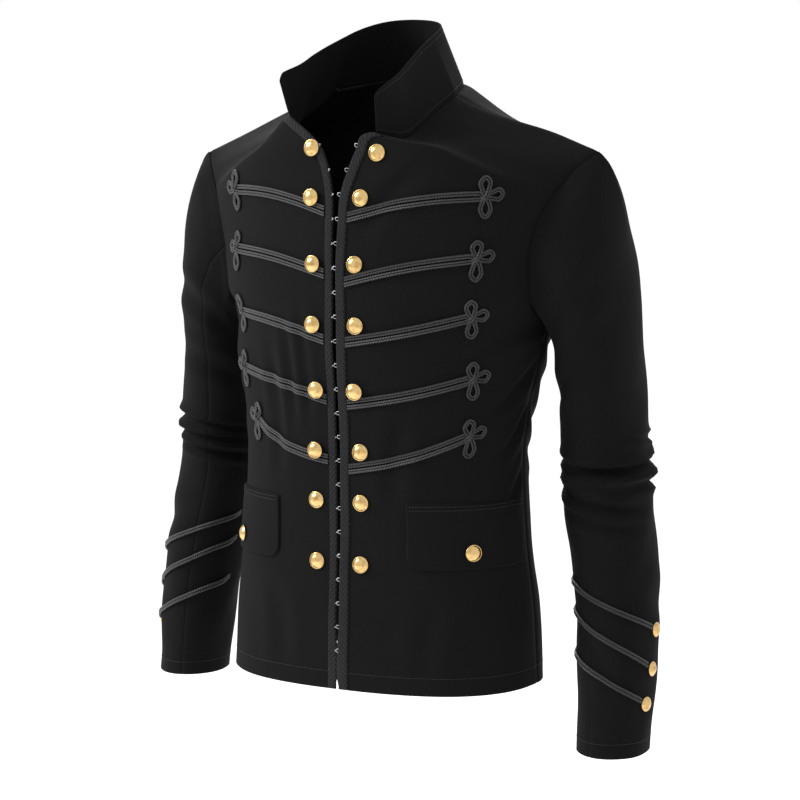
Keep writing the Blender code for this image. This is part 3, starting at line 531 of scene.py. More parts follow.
def cloth_piece(name, points, normals, faces, uv, material, wall=WALL, edge=EDGE_ROUND):
    """Cloth with two faces and a rounded edge. The points are its outside, and its border is closed."""
    probe = points[faces]
    turned = np.cross(probe[:, 2] - probe[:, 0], probe[:, 3] - probe[:, 1])
    if (turned * normals[faces].mean(axis=1)).sum() < 0:
        faces = faces[:, ::-1]
    count = len(points)
    inner = points - normals * wall
    border = border_of(faces)
    place = {}
    rim = []
    rim_uv = []
    pull = np.zeros_like(points)
    owner_middle = {}
    for face in faces[np.isin(faces, border.ravel()).any(axis=1)]:
        middle = points[face].mean(axis=0)
        for k in range(4):
            owner_middle[(face[k], face[(k + 1) % 4])] = middle
    for start, end in border:
        middle = owner_middle[(start, end)]
        along = unit(points[end] - points[start])
        out = (points[start] + points[end]) / 2.0 - middle
        out = unit(out - along * np.dot(out, along))
        pull[start] += out
        pull[end] += out
    for start, _ in border:
        if start not in place:
            place[start] = 2 * count + len(rim)
            rim.append(points[start] - normals[start] * wall / 2.0 + unit(pull[start]) * edge)
            rim_uv.append(uv[start])
    sides = []
    for start, end in border:
        sides.append((end, start, place[start], place[end]))
        sides.append((place[end], place[start], start + count, end + count))
    every = np.concatenate([points, inner, np.array(rim)])
    all_faces = np.concatenate([faces, faces[:, ::-1] + count, np.array(sides)])
    all_uv = np.concatenate([uv, uv, np.array(rim_uv)])
    return mesh_piece(name, every, all_faces, all_uv, material)


class Chart:
    """A panel's surface, read by the distance along the cloth from the middle, and the height."""

    STEP = 0.002
    LOWEST = -0.612
    WIDEST = 0.262

    def __init__(self, grid, outward_from):
        self.heights = np.arange(self.LOWEST, 0.0, self.STEP)
        self.reach = np.arange(0.0, self.WIDEST, self.STEP)
        normals = grid_normals(grid, outward_from)
        columns = np.arange(grid.shape[1])
        rows_of = np.arange(len(grid))
        points = []
        facing = []
        for height in self.heights:
            rows = np.array([np.interp(height, grid[:, j, 2], rows_of) for j in columns])
            low = np.clip(rows.astype(int), 0, len(grid) - 2)
            t = (rows - low)[:, None]
            line = grid[low, columns] * (1 - t) + grid[low + 1, columns] * t
            sense = normals[low, columns] * (1 - t) + normals[low + 1, columns] * t
            lengths = abs(line[0, 0]) + path_lengths(line)
            points.append(read_along(line, lengths, self.reach))
            facing.append(read_along(sense, lengths, self.reach))
        self.points = np.array(points)
        self.normals = np.array(facing)

    def place(self, across, height):
        across = np.atleast_1d(np.asarray(across, float))
        height = np.atleast_1d(np.asarray(height, float))
        a = np.clip((across - self.reach[0]) / self.STEP, 0, len(self.reach) - 1.001)
        h = np.clip((height - self.heights[0]) / self.STEP, 0, len(self.heights) - 1.001)
        return read_grid(self.points, h, a), unit(read_grid(self.normals, h, a))


def read_grid(values, row, column):
    """A grid's values between its rows and columns."""
    i = np.clip(row.astype(int), 0, values.shape[0] - 2)
    j = np.clip(column.astype(int), 0, values.shape[1] - 2)
    s = (row - i)[:, None]
    t = (column - j)[:, None]
    near = values[i, j] * (1 - t) + values[i, j + 1] * t
    far = values[i + 1, j] * (1 - t) + values[i + 1, j + 1] * t
    return near * (1 - s) + far * s


class Arm:
    """A sleeve's surface, read by the turn in degrees from the outside over the front, and the way up."""

    def __init__(self, grid, outward_from):
        self.turns = 180.0 - np.degrees(np.concatenate([sleeve_turns(), [-math.pi]]))
        self.grid = np.concatenate([grid, grid[:, :1]], axis=1)
        normals = grid_normals(grid, outward_from, closed=True)
        self.normals = np.concatenate([normals, normals[:, :1]], axis=1)

    def place(self, turn, up):
        turn = np.atleast_1d(np.asarray(turn, float))
        up = np.atleast_1d(np.asarray(up, float))
        points = []
        normals = []
        for one_turn, one_up in zip(turn, up):
            column = np.interp((180.0 - one_turn) % 360.0, self.turns, np.arange(len(self.turns)))
            j = min(int(column), len(self.turns) - 2)
            t = column - j
            line = self.grid[::-1, j] * (1 - t) + self.grid[::-1, j + 1] * t
            row = np.interp(one_up, path_lengths(line), np.arange(len(line)))
            row = np.array([len(line) - 1 - row])
            points.append(read_grid(self.grid, row, np.array([column]))[0])
            normals.append(read_grid(self.normals, row, np.array([column]))[0])
        return np.array(points), unit(np.array(normals))


def shaped(name, data, tree, values):
    """The plain mesh that a node tree makes of data. Its inputs are set by their sockets' identifiers."""
    item = in_scene(name + "_start", data)
    modifier = item.modifiers.new("shape", "NODES")
    modifier.node_group = tree
    for socket in tree.interface.items_tree:
        if socket.item_type == "SOCKET" and socket.in_out == "INPUT" and socket.name in values:
            modifier[socket.identifier] = values[socket.name]
    bpy.context.view_layer.update()
    graph = bpy.context.evaluated_depsgraph_get()
    mesh = bpy.data.meshes.new_from_object(item.evaluated_get(graph))
    bpy.data.objects.remove(item, do_unlink=True)
    mesh.name = name
    return in_scene(name, mesh)


class Recipe:
    """Short names for making the nodes of one tree and their links."""

    def __init__(self, tree):
        self.tree = tree
        self.nodes = tree.nodes
        self.link = tree.links.new

    def node(self, kind, values=(), **settings):
        made = self.nodes.new(kind)
        for name, value in settings.items():
            setattr(made, name, value)
        for name, value in dict(values).items():
            if isinstance(value, bpy.types.NodeSocket):
                self.link(value, made.inputs[name])
            else:
                made.inputs[name].default_value = value
        return made

    def maths(self, operation, *values):
        return self.node("ShaderNodeMath", dict(enumerate(values)), operation=operation).outputs[0]

    def mix(self, share, first, second):
        made = self.node("ShaderNodeMix", {0: share, 6: first, 7: second}, data_type="RGBA")
        return made.outputs[2]


def shape_tree(name, inputs):
    """A Geometry Nodes tree with a geometry in and out and some named inputs, and its short names."""
    group = bpy.data.node_groups.new(name, "GeometryNodeTree")
    group.interface.new_socket("Geometry", in_out="INPUT", socket_type="NodeSocketGeometry")
    for label, kind in inputs.items():
        group.interface.new_socket(label, in_out="INPUT", socket_type="NodeSocket" + kind)
    group.interface.new_socket("Geometry", in_out="OUTPUT", socket_type="NodeSocketGeometry")
    r = Recipe(group)
    return r, r.node("NodeGroupInput").outputs


def finish_tree(r, geometry, material):
    """Smooth shading, instances made real and the material, at the end of a tree."""
    smooth = r.node("GeometryNodeSetShadeSmooth", {"Geometry": geometry})
    real = r.node("GeometryNodeRealizeInstances", {"Geometry": smooth.outputs["Geometry"]})
    finish = r.node("GeometryNodeSetMaterial", {"Geometry": real.outputs["Geometry"], "Material": material})
    r.node("NodeGroupOutput", {"Geometry": finish.outputs["Geometry"]})
    return r.tree


def kept_on_curve(r, geometry, name, value):
    """A value kept at the points of a curve."""
    keep = r.node("GeometryNodeCaptureAttribute", domain="POINT")
    keep.capture_items.new("FLOAT", name)
    r.link(geometry, keep.inputs["Geometry"])
    r.link(value, keep.inputs[name])
    return keep.outputs


def cord_tree():
    """Sweeps a round cord along every line of a curve, with the way along and round it in its UV map."""
    r, given = shape_tree("cord", {"Radius": "Float", "Sides": "Int", "Material": "Material"})
    way = r.node("GeometryNodeSplineParameter").outputs["Length"]
    line = kept_on_curve(r, given["Geometry"], "way", way)
    profile = r.node("GeometryNodeCurvePrimitiveCircle",
                     {"Resolution": given["Sides"], "Radius": given["Radius"]})
    turn = r.node("GeometryNodeSplineParameter").outputs["Factor"]
    ring = kept_on_curve(r, profile.outputs["Curve"], "turn", turn)
    sweep = r.node("GeometryNodeCurveToMesh", {"Curve": line["Geometry"], "Profile Curve": ring["Geometry"],
                                               "Fill Caps": True})
    place = r.node("ShaderNodeCombineXYZ", {"X": line["way"], "Y": ring["turn"]})
    store = r.node("GeometryNodeStoreNamedAttribute",
                   {"Geometry": sweep.outputs["Mesh"], "Name": "UVMap", "Value": place.outputs["Vector"]},
                   data_type="FLOAT2", domain="CORNER")
    return finish_tree(r, store.outputs["Geometry"], given["Material"])


def repeat_tree():
    """Sets one shape at every point of a mesh, turned by the point's stored turn."""
    r, given = shape_tree("repeat at points", {"Shape": "Object", "Size": "Float", "Material": "Material"})
    shape = r.node("GeometryNodeObjectInfo", {"Object": given["Shape"]})
    turn = r.node("GeometryNodeInputNamedAttribute", {"Name": "turn"}, data_type="FLOAT_VECTOR")
    put = r.node("GeometryNodeInstanceOnPoints", {"Points": given["Geometry"], "Scale": given["Size"],
                                                  "Instance": shape.outputs["Geometry"],
                                                  "Rotation": turn.outputs["Attribute"]})
    return finish_tree(r, put.outputs["Instances"], given["Material"])


CORD_TREE = cord_tree()
REPEAT_TREE = repeat_tree()
CORD_SIDES = 8


def cord_piece(name, paths, radius, material, sides=CORD_SIDES):
    """Round cords along paths, as one piece. A path is an array of points."""
    curve = bpy.data.curves.new(name + "_path", "CURVE")
    curve.dimensions = "3D"
    for path in paths:
        spline = curve.splines.new("POLY")
        spline.points.add(len(path) - 1)
        spline.points.foreach_set("co", np.concatenate([path, np.ones((len(path), 1))], axis=1).ravel())
    return shaped(name, curve, CORD_TREE, {"Radius": radius, "Sides": sides, "Material": material})


def repeated_piece(name, shape, points, turns, material, size=1.0):
    """One shape repeated at points, as one piece."""
    mesh = bpy.data.meshes.new(name + "_points")
    mesh.from_pydata(np.asarray(points, float).tolist(), [], [])
    turn = mesh.attributes.new("turn", "FLOAT_VECTOR", "POINT")
    turn.data.foreach_set("vector", np.asarray(turns, np.float32).ravel())
    return shaped(name, mesh, REPEAT_TREE, {"Shape": shape, "Size": size, "Material": material})


def turn_to(normal, up=(0.0, 0.0, 1.0)):
    """The Euler angles that turn +Z to the normal and +Y towards up."""
    z = Vector(normal).normalized()
    x = Vector(up).cross(z).normalized()
    y = z.cross(x)
    return tuple(Matrix((x, y, z)).transposed().to_euler())


def lathe(name, profile, sides):
    """A turned shape from a profile of distances and heights, from its edge up to its middle."""
    points = []
    for distance, up in profile[:-1]:
        for k in range(sides):
            angle = 2.0 * math.pi * k / sides
            points.append((distance * math.cos(angle), distance * math.sin(angle), up))
    points.append((0.0, 0.0, profile[-1][1]))
    faces = [tuple(range(sides))[::-1]]
    for ring in range(len(profile) - 2):
        for k in range(sides):
            following = (k + 1) % sides
            faces.append((ring * sides + k, ring * sides + following,
                          (ring + 1) * sides + following, (ring + 1) * sides + k))
    last = (len(profile) - 2) * sides
    for k in range(sides):
        faces.append((last + k, last + (k + 1) % sides, len(points) - 1))
    mesh = bpy.data.meshes.new(name)
    mesh.from_pydata(points, [], faces)
    mesh.uv_layers.new(name="UVMap")
    return in_scene(name, mesh)


def shader_group(name, size, default, outputs):
    """A shader node group that takes a place and one size: its short names, its inputs and its end."""
    group = bpy.data.node_groups.new(name, "ShaderNodeTree")
    group.interface.new_socket("Place", in_out="INPUT", socket_type="NodeSocketVector")
    group.interface.new_socket(size, in_out="INPUT", socket_type="NodeSocketFloat").default_value = default
    for output in outputs:
        group.interface.new_socket(output, in_out="OUTPUT", socket_type="NodeSocketFloat")
    r = Recipe(group)
    return r, r.node("NodeGroupInput").outputs, r.node("NodeGroupOutput").inputs


def weave_group():
    """Twill: fine diagonal ribs over two sets of threads, from a place in metres on the cloth."""
    r, given, result = shader_group("twill weave", "Thread", 0.0006, ("Height", "Shade"))
    parts = r.node("ShaderNodeSeparateXYZ", {0: given["Place"]})
    wave = r.maths("DIVIDE", 2.0 * math.pi, given["Thread"])
    slant = r.maths("ADD", parts.outputs["X"], r.maths("MULTIPLY", parts.outputs["Y"], 0.8))
    rib = r.maths("SINE", r.maths("MULTIPLY", slant, r.maths("MULTIPLY", wave, 0.5)))
    across = r.maths("SINE", r.maths("MULTIPLY", parts.outputs["Y"], wave))
    uneven = r.node("ShaderNodeTexNoise", {"Vector": given["Place"], "Scale": 900.0, "Detail": 2.0})
    height = r.maths("MULTIPLY_ADD", rib, 0.35, r.maths("MULTIPLY_ADD", across, 0.12, 0.5))
    height = r.maths("MULTIPLY_ADD", uneven.outputs["Fac"], 0.25, height)
    r.link(height, result["Height"])
    # Shade: the ribs' crests, which the cloth paints lighter as a painted highlight
    r.link(r.maths("MULTIPLY_ADD", rib, 0.5, 0.5), result["Shade"])
    return r.tree


def wear_group():
    """Soft patches where cloth has been handled, and short pale fibres, from Object coordinates."""
    r, given, result = shader_group("handled cloth", "Patch size", 0.08, ("Patches", "Fibres"))
    scale = r.maths("DIVIDE", 1.0, given["Patch size"])
    patches = r.node("ShaderNodeTexNoise", {"Vector": given["Place"], "Scale": scale, "Detail": 3.0,
                                           "Roughness": 0.55})
    fibres = r.node("ShaderNodeTexNoise", {"Vector": given["Place"], "Scale": 420.0, "Detail": 4.0})
    r.link(patches.outputs["Fac"], result["Patches"])
    sharp = r.node("ShaderNodeMapRange", {"Value": fibres.outputs["Fac"], "From Min": 0.58, "From Max": 0.75})
    r.link(sharp.outputs["Result"], result["Fibres"])
    return r.tree


def twist_group():
    """The plies of a twisted cord, from the way along it in metres and the turn round it."""
    r, given, result = shader_group("cord plies", "Pitch", 0.0022, ("Height",))
    parts = r.node("ShaderNodeSeparateXYZ", {0: given["Place"]})
    way = r.maths("DIVIDE", parts.outputs["X"], given["Pitch"])
    turns = r.maths("ADD", way, r.maths("MULTIPLY", parts.outputs["Y"], 2.0))
    ply = r.maths("ABSOLUTE", r.maths("SINE", r.maths("MULTIPLY", turns, math.pi)))
    # The plies' height, also used to paint their crests lighter and their grooves darker
    r.link(ply, result["Height"])
    return r.tree


WEAVE = weave_group()
WEAR = wear_group()
TWIST = twist_group()


def new_material(name):
    material = bpy.data.materials.new(name)
    material.use_nodes = True
    r = Recipe(material.node_tree)
    return material, r, r.nodes["Principled BSDF"].inputs


def use_group(r, group, values):
    return r.node("ShaderNodeGroup", values, node_tree=group).outputs


def bump(r, height, distance, strength):
    values = {"Height": height, "Distance": distance, "Strength": strength}
    return r.node("ShaderNodeBump", values).outputs["Normal"]


def cloth_material(name, dark, light, thread, roughness, sheen=0.25, weave_depth=0.00012):
    """Twill cloth with soft patches and fibres, and a painted highlight on its ribs."""
    material, r, shader = new_material(name)
    uv = r.node("ShaderNodeUVMap", uv_map="UVMap").outputs["UV"]
    place = r.node("ShaderNodeTexCoord").outputs["Object"]
    weave = use_group(r, WEAVE, {"Place": uv, "Thread": thread})
    wear = use_group(r, WEAR, {"Place": place, "Patch size": 0.07})
    colour = r.mix(wear["Patches"], (*dark, 1.0), (*light, 1.0))
    # The pale fibres' colour, which also paints the highlight on the ribs
    pale_fibres_and_rib_highlight = tuple(min(1.0, value * 2.6) for value in light)
    colour = r.mix(r.maths("MULTIPLY", wear["Fibres"], 0.55), colour, (*pale_fibres_and_rib_highlight, 1.0))
    # The ribs' crests painted lighter: a painted highlight
    shaded = r.mix(r.maths("MULTIPLY_ADD", weave["Shade"], 0.3, 0.0), colour, (*pale_fibres_and_rib_highlight, 1.0))
    r.link(shaded, shader["Base Color"])
    rough = r.maths("MULTIPLY_ADD", wear["Patches"], 0.12, roughness - 0.06)
    r.link(rough, shader["Roughness"])
    shader["Specular IOR Level"].default_value = 0.09
    shader["Sheen Weight"].default_value = sheen
    shader["Sheen Roughness"].default_value = 0.5
    shader["Sheen Tint"].default_value = (0.8, 0.82, 0.9, 1.0)
    r.link(bump(r, weave["Height"], weave_depth, 1.0), shader["Normal"])
    return material


def cord_material(name, dark, light, pitch, roughness, depth=0.0003):
    material, r, shader = new_material(name)
    uv = r.node("ShaderNodeUVMap", uv_map="UVMap").outputs["UV"]
    place = r.node("ShaderNodeTexCoord").outputs["Object"]
    plies = use_group(r, TWIST, {"Place": uv, "Pitch": pitch})
    wear = use_group(r, WEAR, {"Place": place, "Patch size": 0.03})
    # The plies' crests painted lighter and the grooves between them painted darker: painted highlight and
    # painted shade on the cord
    colour = r.mix(plies["Height"], (*dark, 1.0), (*light, 1.0))
    colour = r.mix(r.maths("MULTIPLY", wear["Patches"], 0.3), colour, (*dark, 1.0))
    r.link(colour, shader["Base Color"])
    rough = r.maths("MULTIPLY_ADD", wear["Patches"], 0.15, roughness - 0.07)
    r.link(rough, shader["Roughness"])
    shader["Sheen Weight"].default_value = 0.03
    shader["Sheen Roughness"].default_value = 0.4
    r.link(bump(r, plies["Height"], depth, 0.9), shader["Normal"])
    return material


def metal_material(name, bright, dull, roughness):
    material, r, shader = new_material(name)
    place = r.node("ShaderNodeTexCoord").outputs["Object"]
    wear = use_group(r, WEAR, {"Place": place, "Patch size": 0.006})
    worn = r.node("ShaderNodeMapRange", {"Value": wear["Patches"], "From Min": 0.45, "From Max": 0.75})
    colour = r.mix(worn.outputs["Result"], (*bright, 1.0), (*dull, 1.0))
    r.link(colour, shader["Base Color"])
    rough = r.maths("MULTIPLY_ADD", worn.outputs["Result"], 0.12, roughness)
    r.link(rough, shader["Roughness"])
    shader["Metallic"].default_value = 1.0
    dents = r.node("ShaderNodeTexNoise", {"Vector": place, "Scale": 220.0, "Detail": 1.0})
    r.link(bump(r, dents.outputs["Fac"], 0.0006, 0.5), shader["Normal"])
    return material


twill = cloth_material("black twill", (0.0022, 0.0021, 0.0023), (0.0042, 0.0040, 0.0042), 0.0011, 0.9,
                       sheen=0.01)
tape_cloth = cloth_material("charcoal tape", (0.005, 0.005, 0.0055), (0.013, 0.013, 0.014), 0.0022, 0.8,
                            sheen=0.03, weave_depth=0.0004)
# The cords' dark colours are painted shade in the grooves between the plies, and their light colours are
# painted highlight on the plies' crests
braid_cord = cord_material("satin braid cord", (0.0022, 0.0022, 0.0026), (0.018, 0.018, 0.019), 0.0030, 0.45,
                           depth=0.0005)
thread = cord_material("sewing thread", (0.009, 0.009, 0.010), (0.018, 0.018, 0.019), 0.0006, 0.6,
                       depth=0.00005)
gilt = metal_material("gilt metal", (0.70, 0.48, 0.20), (0.34, 0.20, 0.07), 0.20)
steel = metal_material("steel wire", (0.42, 0.42, 0.44), (0.22, 0.22, 0.24), 0.30)


# The fronts' creases, by the distance along the cloth from the middle of the front, and the height
FRONT_CREASES = {
    "left": rows_of(Crease, (
        (0.150, -0.258, 0.244, -0.232, 0.005, 0.0070, 0.0026, 0.5),
        (0.150, -0.330, 0.243, -0.258, -0.006, 0.0062, 0.0036, 0.6),
        (0.168, -0.378, 0.246, -0.292, -0.005, 0.0056, 0.0034, 0.6),
        (0.185, -0.424, 0.246, -0.350, -0.004, 0.0060, 0.0028, 0.6),
        (0.060, -0.440, 0.075, -0.300, 0.004, 0.0100, 0.0016, 0.6),
        (0.095, -0.612, 0.110, -0.500, 0.003, 0.0110, 0.0016, 0.6),
        (0.020, -0.150, 0.110, -0.060, 0.008, 0.0100, 0.0018, 0.5),
    )),
    "right": rows_of(Crease, (
        (0.036, -0.345, 0.047, -0.195, 0.003, 0.0060, 0.0020, 0.6),
        (0.056, -0.360, 0.068, -0.210, 0.003, 0.0062, 0.0020, 0.6),
        (0.076, -0.410, 0.094, -0.232, 0.004, 0.0080, 0.0020, 0.6),
        (0.140, -0.300, 0.243, -0.245, -0.005, 0.0065, 0.0032, 0.6),
        (0.160, -0.372, 0.246, -0.285, -0.006, 0.0060, 0.0032, 0.6),
        (0.125, -0.232, 0.243, -0.205, 0.006, 0.0075, 0.0024, 0.5),
        (0.070, -0.612, 0.082, -0.500, 0.003, 0.0110, 0.0016, 0.6),
    )),
}
# The back's, from its middle
BACK_CREASES = rows_of(Crease, (
    (0.100, -0.292, 0.232, -0.242, -0.006, 0.0080, 0.0034, 0.6),
    (0.125, -0.372, 0.240, -0.282, -0.006, 0.0070, 0.0032, 0.6),
    (0.040, -0.402, 0.200, -0.352, -0.010, 0.0090, 0.0030, 0.6),
    (0.030, -0.452, 0.180, -0.418, -0.008, 0.0080, 0.0026, 0.6),
    (0.130, -0.180, 0.205, -0.060, 0.008, 0.0090, 0.0026, 0.5),
    (0.060, -0.612, 0.078, -0.480, 0.004, 0.0130, 0.0022, 0.6),
    (0.150, -0.612, 0.160, -0.490, 0.004, 0.0120, 0.0020, 0.6),
))
# The sleeves', by the turn in degrees times a millimetre, 0 outside and 0.09 in front, and the height
SLEEVE_CREASES = {
    "left": rows_of(Crease, (
        (-0.085, -0.356, 0.190, -0.361, -0.013, 0.0044, 0.0064, 0.7),
        (-0.060, -0.368, 0.190, -0.382, 0.002, 0.0040, 0.0054, 0.7),
        (-0.010, -0.412, 0.190, -0.384, -0.009, 0.0046, 0.0058, 0.7),
        (-0.070, -0.386, 0.060, -0.390, 0.000, 0.0038, 0.0044, 0.7),
        (-0.070, -0.346, 0.060, -0.341, 0.002, 0.0032, 0.0036, 0.6),
        (0.060, -0.402, 0.190, -0.374, -0.004, 0.0032, 0.0040, 0.7),
        (0.000, -0.430, 0.150, -0.410, -0.008, 0.0044, 0.0028, 0.6),
        (-0.175, -0.372, -0.040, -0.398, 0.006, 0.0060, 0.0032, 0.6),
        (0.020, -0.170, 0.165, -0.268, 0.010, 0.0110, 0.0034, 0.5),
        (0.040, -0.262, 0.175, -0.318, 0.008, 0.0095, 0.0030, 0.5),
        (-0.150, -0.250, -0.030, -0.180, 0.008, 0.0110, 0.0030, 0.5),
        (-0.050, -0.530, 0.090, -0.470, 0.008, 0.0120, 0.0022, 0.5),
        (0.060, -0.600, 0.150, -0.520, 0.006, 0.0110, 0.0020, 0.5),
    )),
    "right": rows_of(Crease, (
        (-0.015, -0.348, 0.190, -0.374, -0.003, 0.0044, 0.0062, 0.7),
        (0.010, -0.374, 0.190, -0.386, 0.001, 0.0040, 0.0056, 0.7),
        (0.030, -0.386, 0.195, -0.407, 0.000, 0.0040, 0.0050, 0.7),
        (-0.175, -0.392, -0.030, -0.366, 0.006, 0.0060, 0.0034, 0.6),
        (0.010, -0.190, 0.160, -0.262, 0.010, 0.0110, 0.0034, 0.5),
        (0.030, -0.270, 0.175, -0.322, 0.006, 0.0100, 0.0028, 0.5),
        (-0.150, -0.262, -0.020, -0.190, 0.008, 0.0110, 0.0030, 0.5),
        (-0.040, -0.520, 0.100, -0.462, 0.008, 0.0120, 0.0022, 0.5),
    )),
}


def row_distances(grid):
    """Each point's distance along its row and along its column."""
    across = np.concatenate([np.zeros((len(grid), 1)),
                             np.cumsum(np.linalg.norm(np.diff(grid, axis=1), axis=2), axis=1)], axis=1)
    along = np.concatenate([np.zeros((1, grid.shape[1])),
                            np.cumsum(np.linalg.norm(np.diff(grid, axis=0), axis=2), axis=0)], axis=0)
    return across, along


def same_normals(*views):
    total = unit(sum(view for view in views))
    for view in views:
        view[...] = total


SEAM_FADE = 0.012
# How far the cloth drifts, and over what distances
PANEL_DRIFT = (0.0022, 0.16)
SLEEVE_DRIFT = (0.0020, 0.11)
ARM_RADIUS = 0.07
TURN_SCALE = 0.001
# What each piece's unevenness is drawn from
FRONT_SEED = 3
BACK_SEED = 11
SLEEVE_SEED = 21

shares = shares_of(PANEL_WIDTH, PANEL_COLUMNS, True, True)
fronts = {name: panel_grid(FRONT_SECTIONS, side, shares) for name, side in SIDES.items()}
backs = {name: panel_grid(BACK_SECTIONS, side, shares) for name, side in SIDES.items()}
sleeve_shares = shares_of(SLEEVE_LENGTH, SLEEVE_ROWS, True, True)
for name in SIDES:
    join_side_seam(fronts[name], backs[name])
sleeves = {name: sleeve_grid(armhole_of(fronts[name], backs[name]), side, sleeve_shares)
           for name, side in SIDES.items()}
collar = collar_grid(fronts, backs)

ORIGIN = np.zeros(3)
front_normals = {name: grid_normals(fronts[name], ORIGIN) for name in SIDES}
back_normals = {name: grid_normals(backs[name], ORIGIN) for name in SIDES}
arm_middles = {name: sleeves[name][SLEEVE_ROWS // 2].mean(axis=0) for name in SIDES}
sleeve_normals = {name: grid_normals(sleeves[name], arm_middles[name], closed=True) for name in SIDES}
collar_normals = grid_normals(collar, ORIGIN)

for name in SIDES:
    front = front_normals[name]
    back = back_normals[name]
    same_normals(front[:UNDERARM_ROW, -1], back[:UNDERARM_ROW, -1])
    same_normals(front[TOP_ROW, :-1], back[TOP_ROW, :-1])
    hole = sleeve_normals[name][0]
    half = TOP_ROW - UNDERARM_ROW
    front_part = hole[:half + 1].copy()
    back_part = np.concatenate([hole[half:], hole[:1]])[::-1].copy()
    same_normals(front_part, front[UNDERARM_ROW:, -1])
    same_normals(back_part, back[UNDERARM_ROW:, -1])
    hole[:half + 1] = front_part
    hole[half:] = back_part[::-1][:-1]
same_normals(back_normals["left"][:NECK_ROW + 1, 0], back_normals["right"][:NECK_ROW + 1, 0])


def panel_pushed(grid, normals, creases, seed):
    """A panel with its creases and its sunken seams, and each point's place on the flat cloth."""
    across, along = row_distances(grid)
    from_middle = across + np.abs(grid[:, :1, 0])
    height = grid[..., 2]
    to_side = across[:, -1:] - across
    to_top = along[-1:] - along
    seam = np.minimum(to_side, to_top)
    to_neck = np.where(np.arange(len(grid))[:, None] >= NECK_ROW, across, 1.0)
    fade = ramp(np.minimum(seam, to_neck), 0.0, SEAM_FADE)
    push = creased(creases, from_middle, height)
    push = push + drift(from_middle, height, seed, *PANEL_DRIFT)
    push = push * fade
    push = push + seam_dip(to_side) + seam_dip(to_top) + seam_dip(to_neck, NECK_SEAM_DEPTH)
    moved = grid + normals * push[..., None]
    flat = np.stack([from_middle, along], axis=-1)
    return moved, flat


def shell_of(name, grid, normals, flat, material=twill, wall=WALL):
    """A cloth piece from grids of points, of normals and of places on the flat cloth."""
    faces = grid_faces(*np.shape(grid)[:2])
    return cloth_piece(name, np.reshape(grid, (-1, 3)), np.reshape(normals, (-1, 3)), faces,
                       np.reshape(flat, (-1, 2)), material, wall=wall)


pieces = {}
# Each front's surface as a chart, for laying trims on it
front_charts = {}
for name, side in SIDES.items():
    fronts[name], flat = panel_pushed(fronts[name], front_normals[name], FRONT_CREASES[name], FRONT_SEED + side)
    pieces["front_" + name] = shell_of(f"front_{name}_cloth", fronts[name], front_normals[name], flat)
    front_charts[name] = Chart(fronts[name], ORIGIN)

for name in SIDES:
    backs[name], back_flat = panel_pushed(backs[name], back_normals[name], BACK_CREASES, BACK_SEED)
    if name == "left":
        left_flat = back_flat
right_flat = back_flat * np.array([-1.0, 1.0])


def back_piece():
    """The whole back: its halves share the centre line below the neck."""
    left = backs["left"]
    right = backs["right"]
    rows, columns = left.shape[:2]
    count = rows * columns
    index = np.arange(count, 2 * count).reshape(rows, columns)
    index[:NECK_ROW + 1, 0] = np.arange(0, count, columns)[:NECK_ROW + 1]
    points = np.concatenate([left.reshape(-1, 3), right.reshape(-1, 3)])
    normals = np.concatenate([back_normals["left"].reshape(-1, 3), back_normals["right"].reshape(-1, 3)])
    uv = np.concatenate([left_flat.reshape(-1, 2), right_flat.reshape(-1, 2)])
    faces = grid_faces(rows, columns)
    faces = np.concatenate([faces, index.reshape(-1)[faces][:, ::-1]])
    used, renumbered = np.unique(faces, return_inverse=True)
    faces = renumbered.reshape(faces.shape)
    return cloth_piece("back_cloth", points[used], normals[used], faces, uv[used], twill)


pieces["back"] = back_piece()


def sleeve_pushed(grid, normals, creases, seed, side):
    """A sleeve with its creases and seams, and each point's place on the flat cloth."""
    wrapped = np.concatenate([grid, grid[:, :1]], axis=1)
    across, along = row_distances(wrapped)
    across = across[:, :-1]
    girth = row_distances(wrapped)[0][:, -1:]
    along = along[:, :-1]
    turns = np.degrees(sleeve_turns())
    turned = np.broadcast_to(turns * TURN_SCALE, grid.shape[:2])
    to_split = np.minimum(np.abs(across - across[:, SPLIT_ROW - UNDERARM_ROW][:, None]),
                          np.abs(across - across[:, -(SPLIT_ROW - UNDERARM_ROW)][:, None]))
    height = grid[..., 2] + CUFF_DROP * side * (along / along[-1:])
    fade = ramp(along, 0.0, SEAM_FADE)
    push = creased(creases, turned, height)
    angle = 2.0 * math.pi * across / girth
    push = push + drift(ARM_RADIUS * np.cos(angle), height + ARM_RADIUS * np.sin(angle), seed, *SLEEVE_DRIFT)
    push = push * fade + seam_dip(along) + seam_dip(to_split, SLEEVE_SEAM_DEPTH, SLEEVE_SEAM_WIDTH)
    moved = grid + normals * push[..., None]
    return moved, np.stack([across, along], axis=-1)


arms = {}
for name, side in SIDES.items():
    sleeves[name], flat = sleeve_pushed(sleeves[name], sleeve_normals[name], SLEEVE_CREASES[name],
                                        SLEEVE_SEED + side, side)
    steps = sleeves[name].shape[1]
    step = SPLIT_ROW - UNDERARM_ROW
    parts = {"sleeve_top_": list(range(step, steps - step + 1)),
             "sleeve_under_": [k % steps for k in range(-step, step + 1)]}
    for part, used in parts.items():
        part_flat = flat[:, used].copy()
        if part == "sleeve_under_":
            closed = np.concatenate([sleeves[name], sleeves[name][:, :1]], axis=1)
            part_flat[:, :step, 0] -= row_distances(closed)[0][:, -1:]
        pieces[part + name] = shell_of(part + name + "_cloth", sleeves[name][:, used],
                                       sleeve_normals[name][:, used], part_flat)
    arms[name] = Arm(sleeves[name], arm_middles[name])

across, along = row_distances(collar)
push = seam_dip(along, NECK_SEAM_DEPTH)
moved_collar = collar + collar_normals * push[..., None]
flat = np.stack([across, along], axis=-1)
pieces["collar"] = shell_of("collar_cloth", moved_collar, collar_normals, flat)


# The loops follow the braid's rise this far past its end, as a share of its length
LOOP_SHARE = 1.2


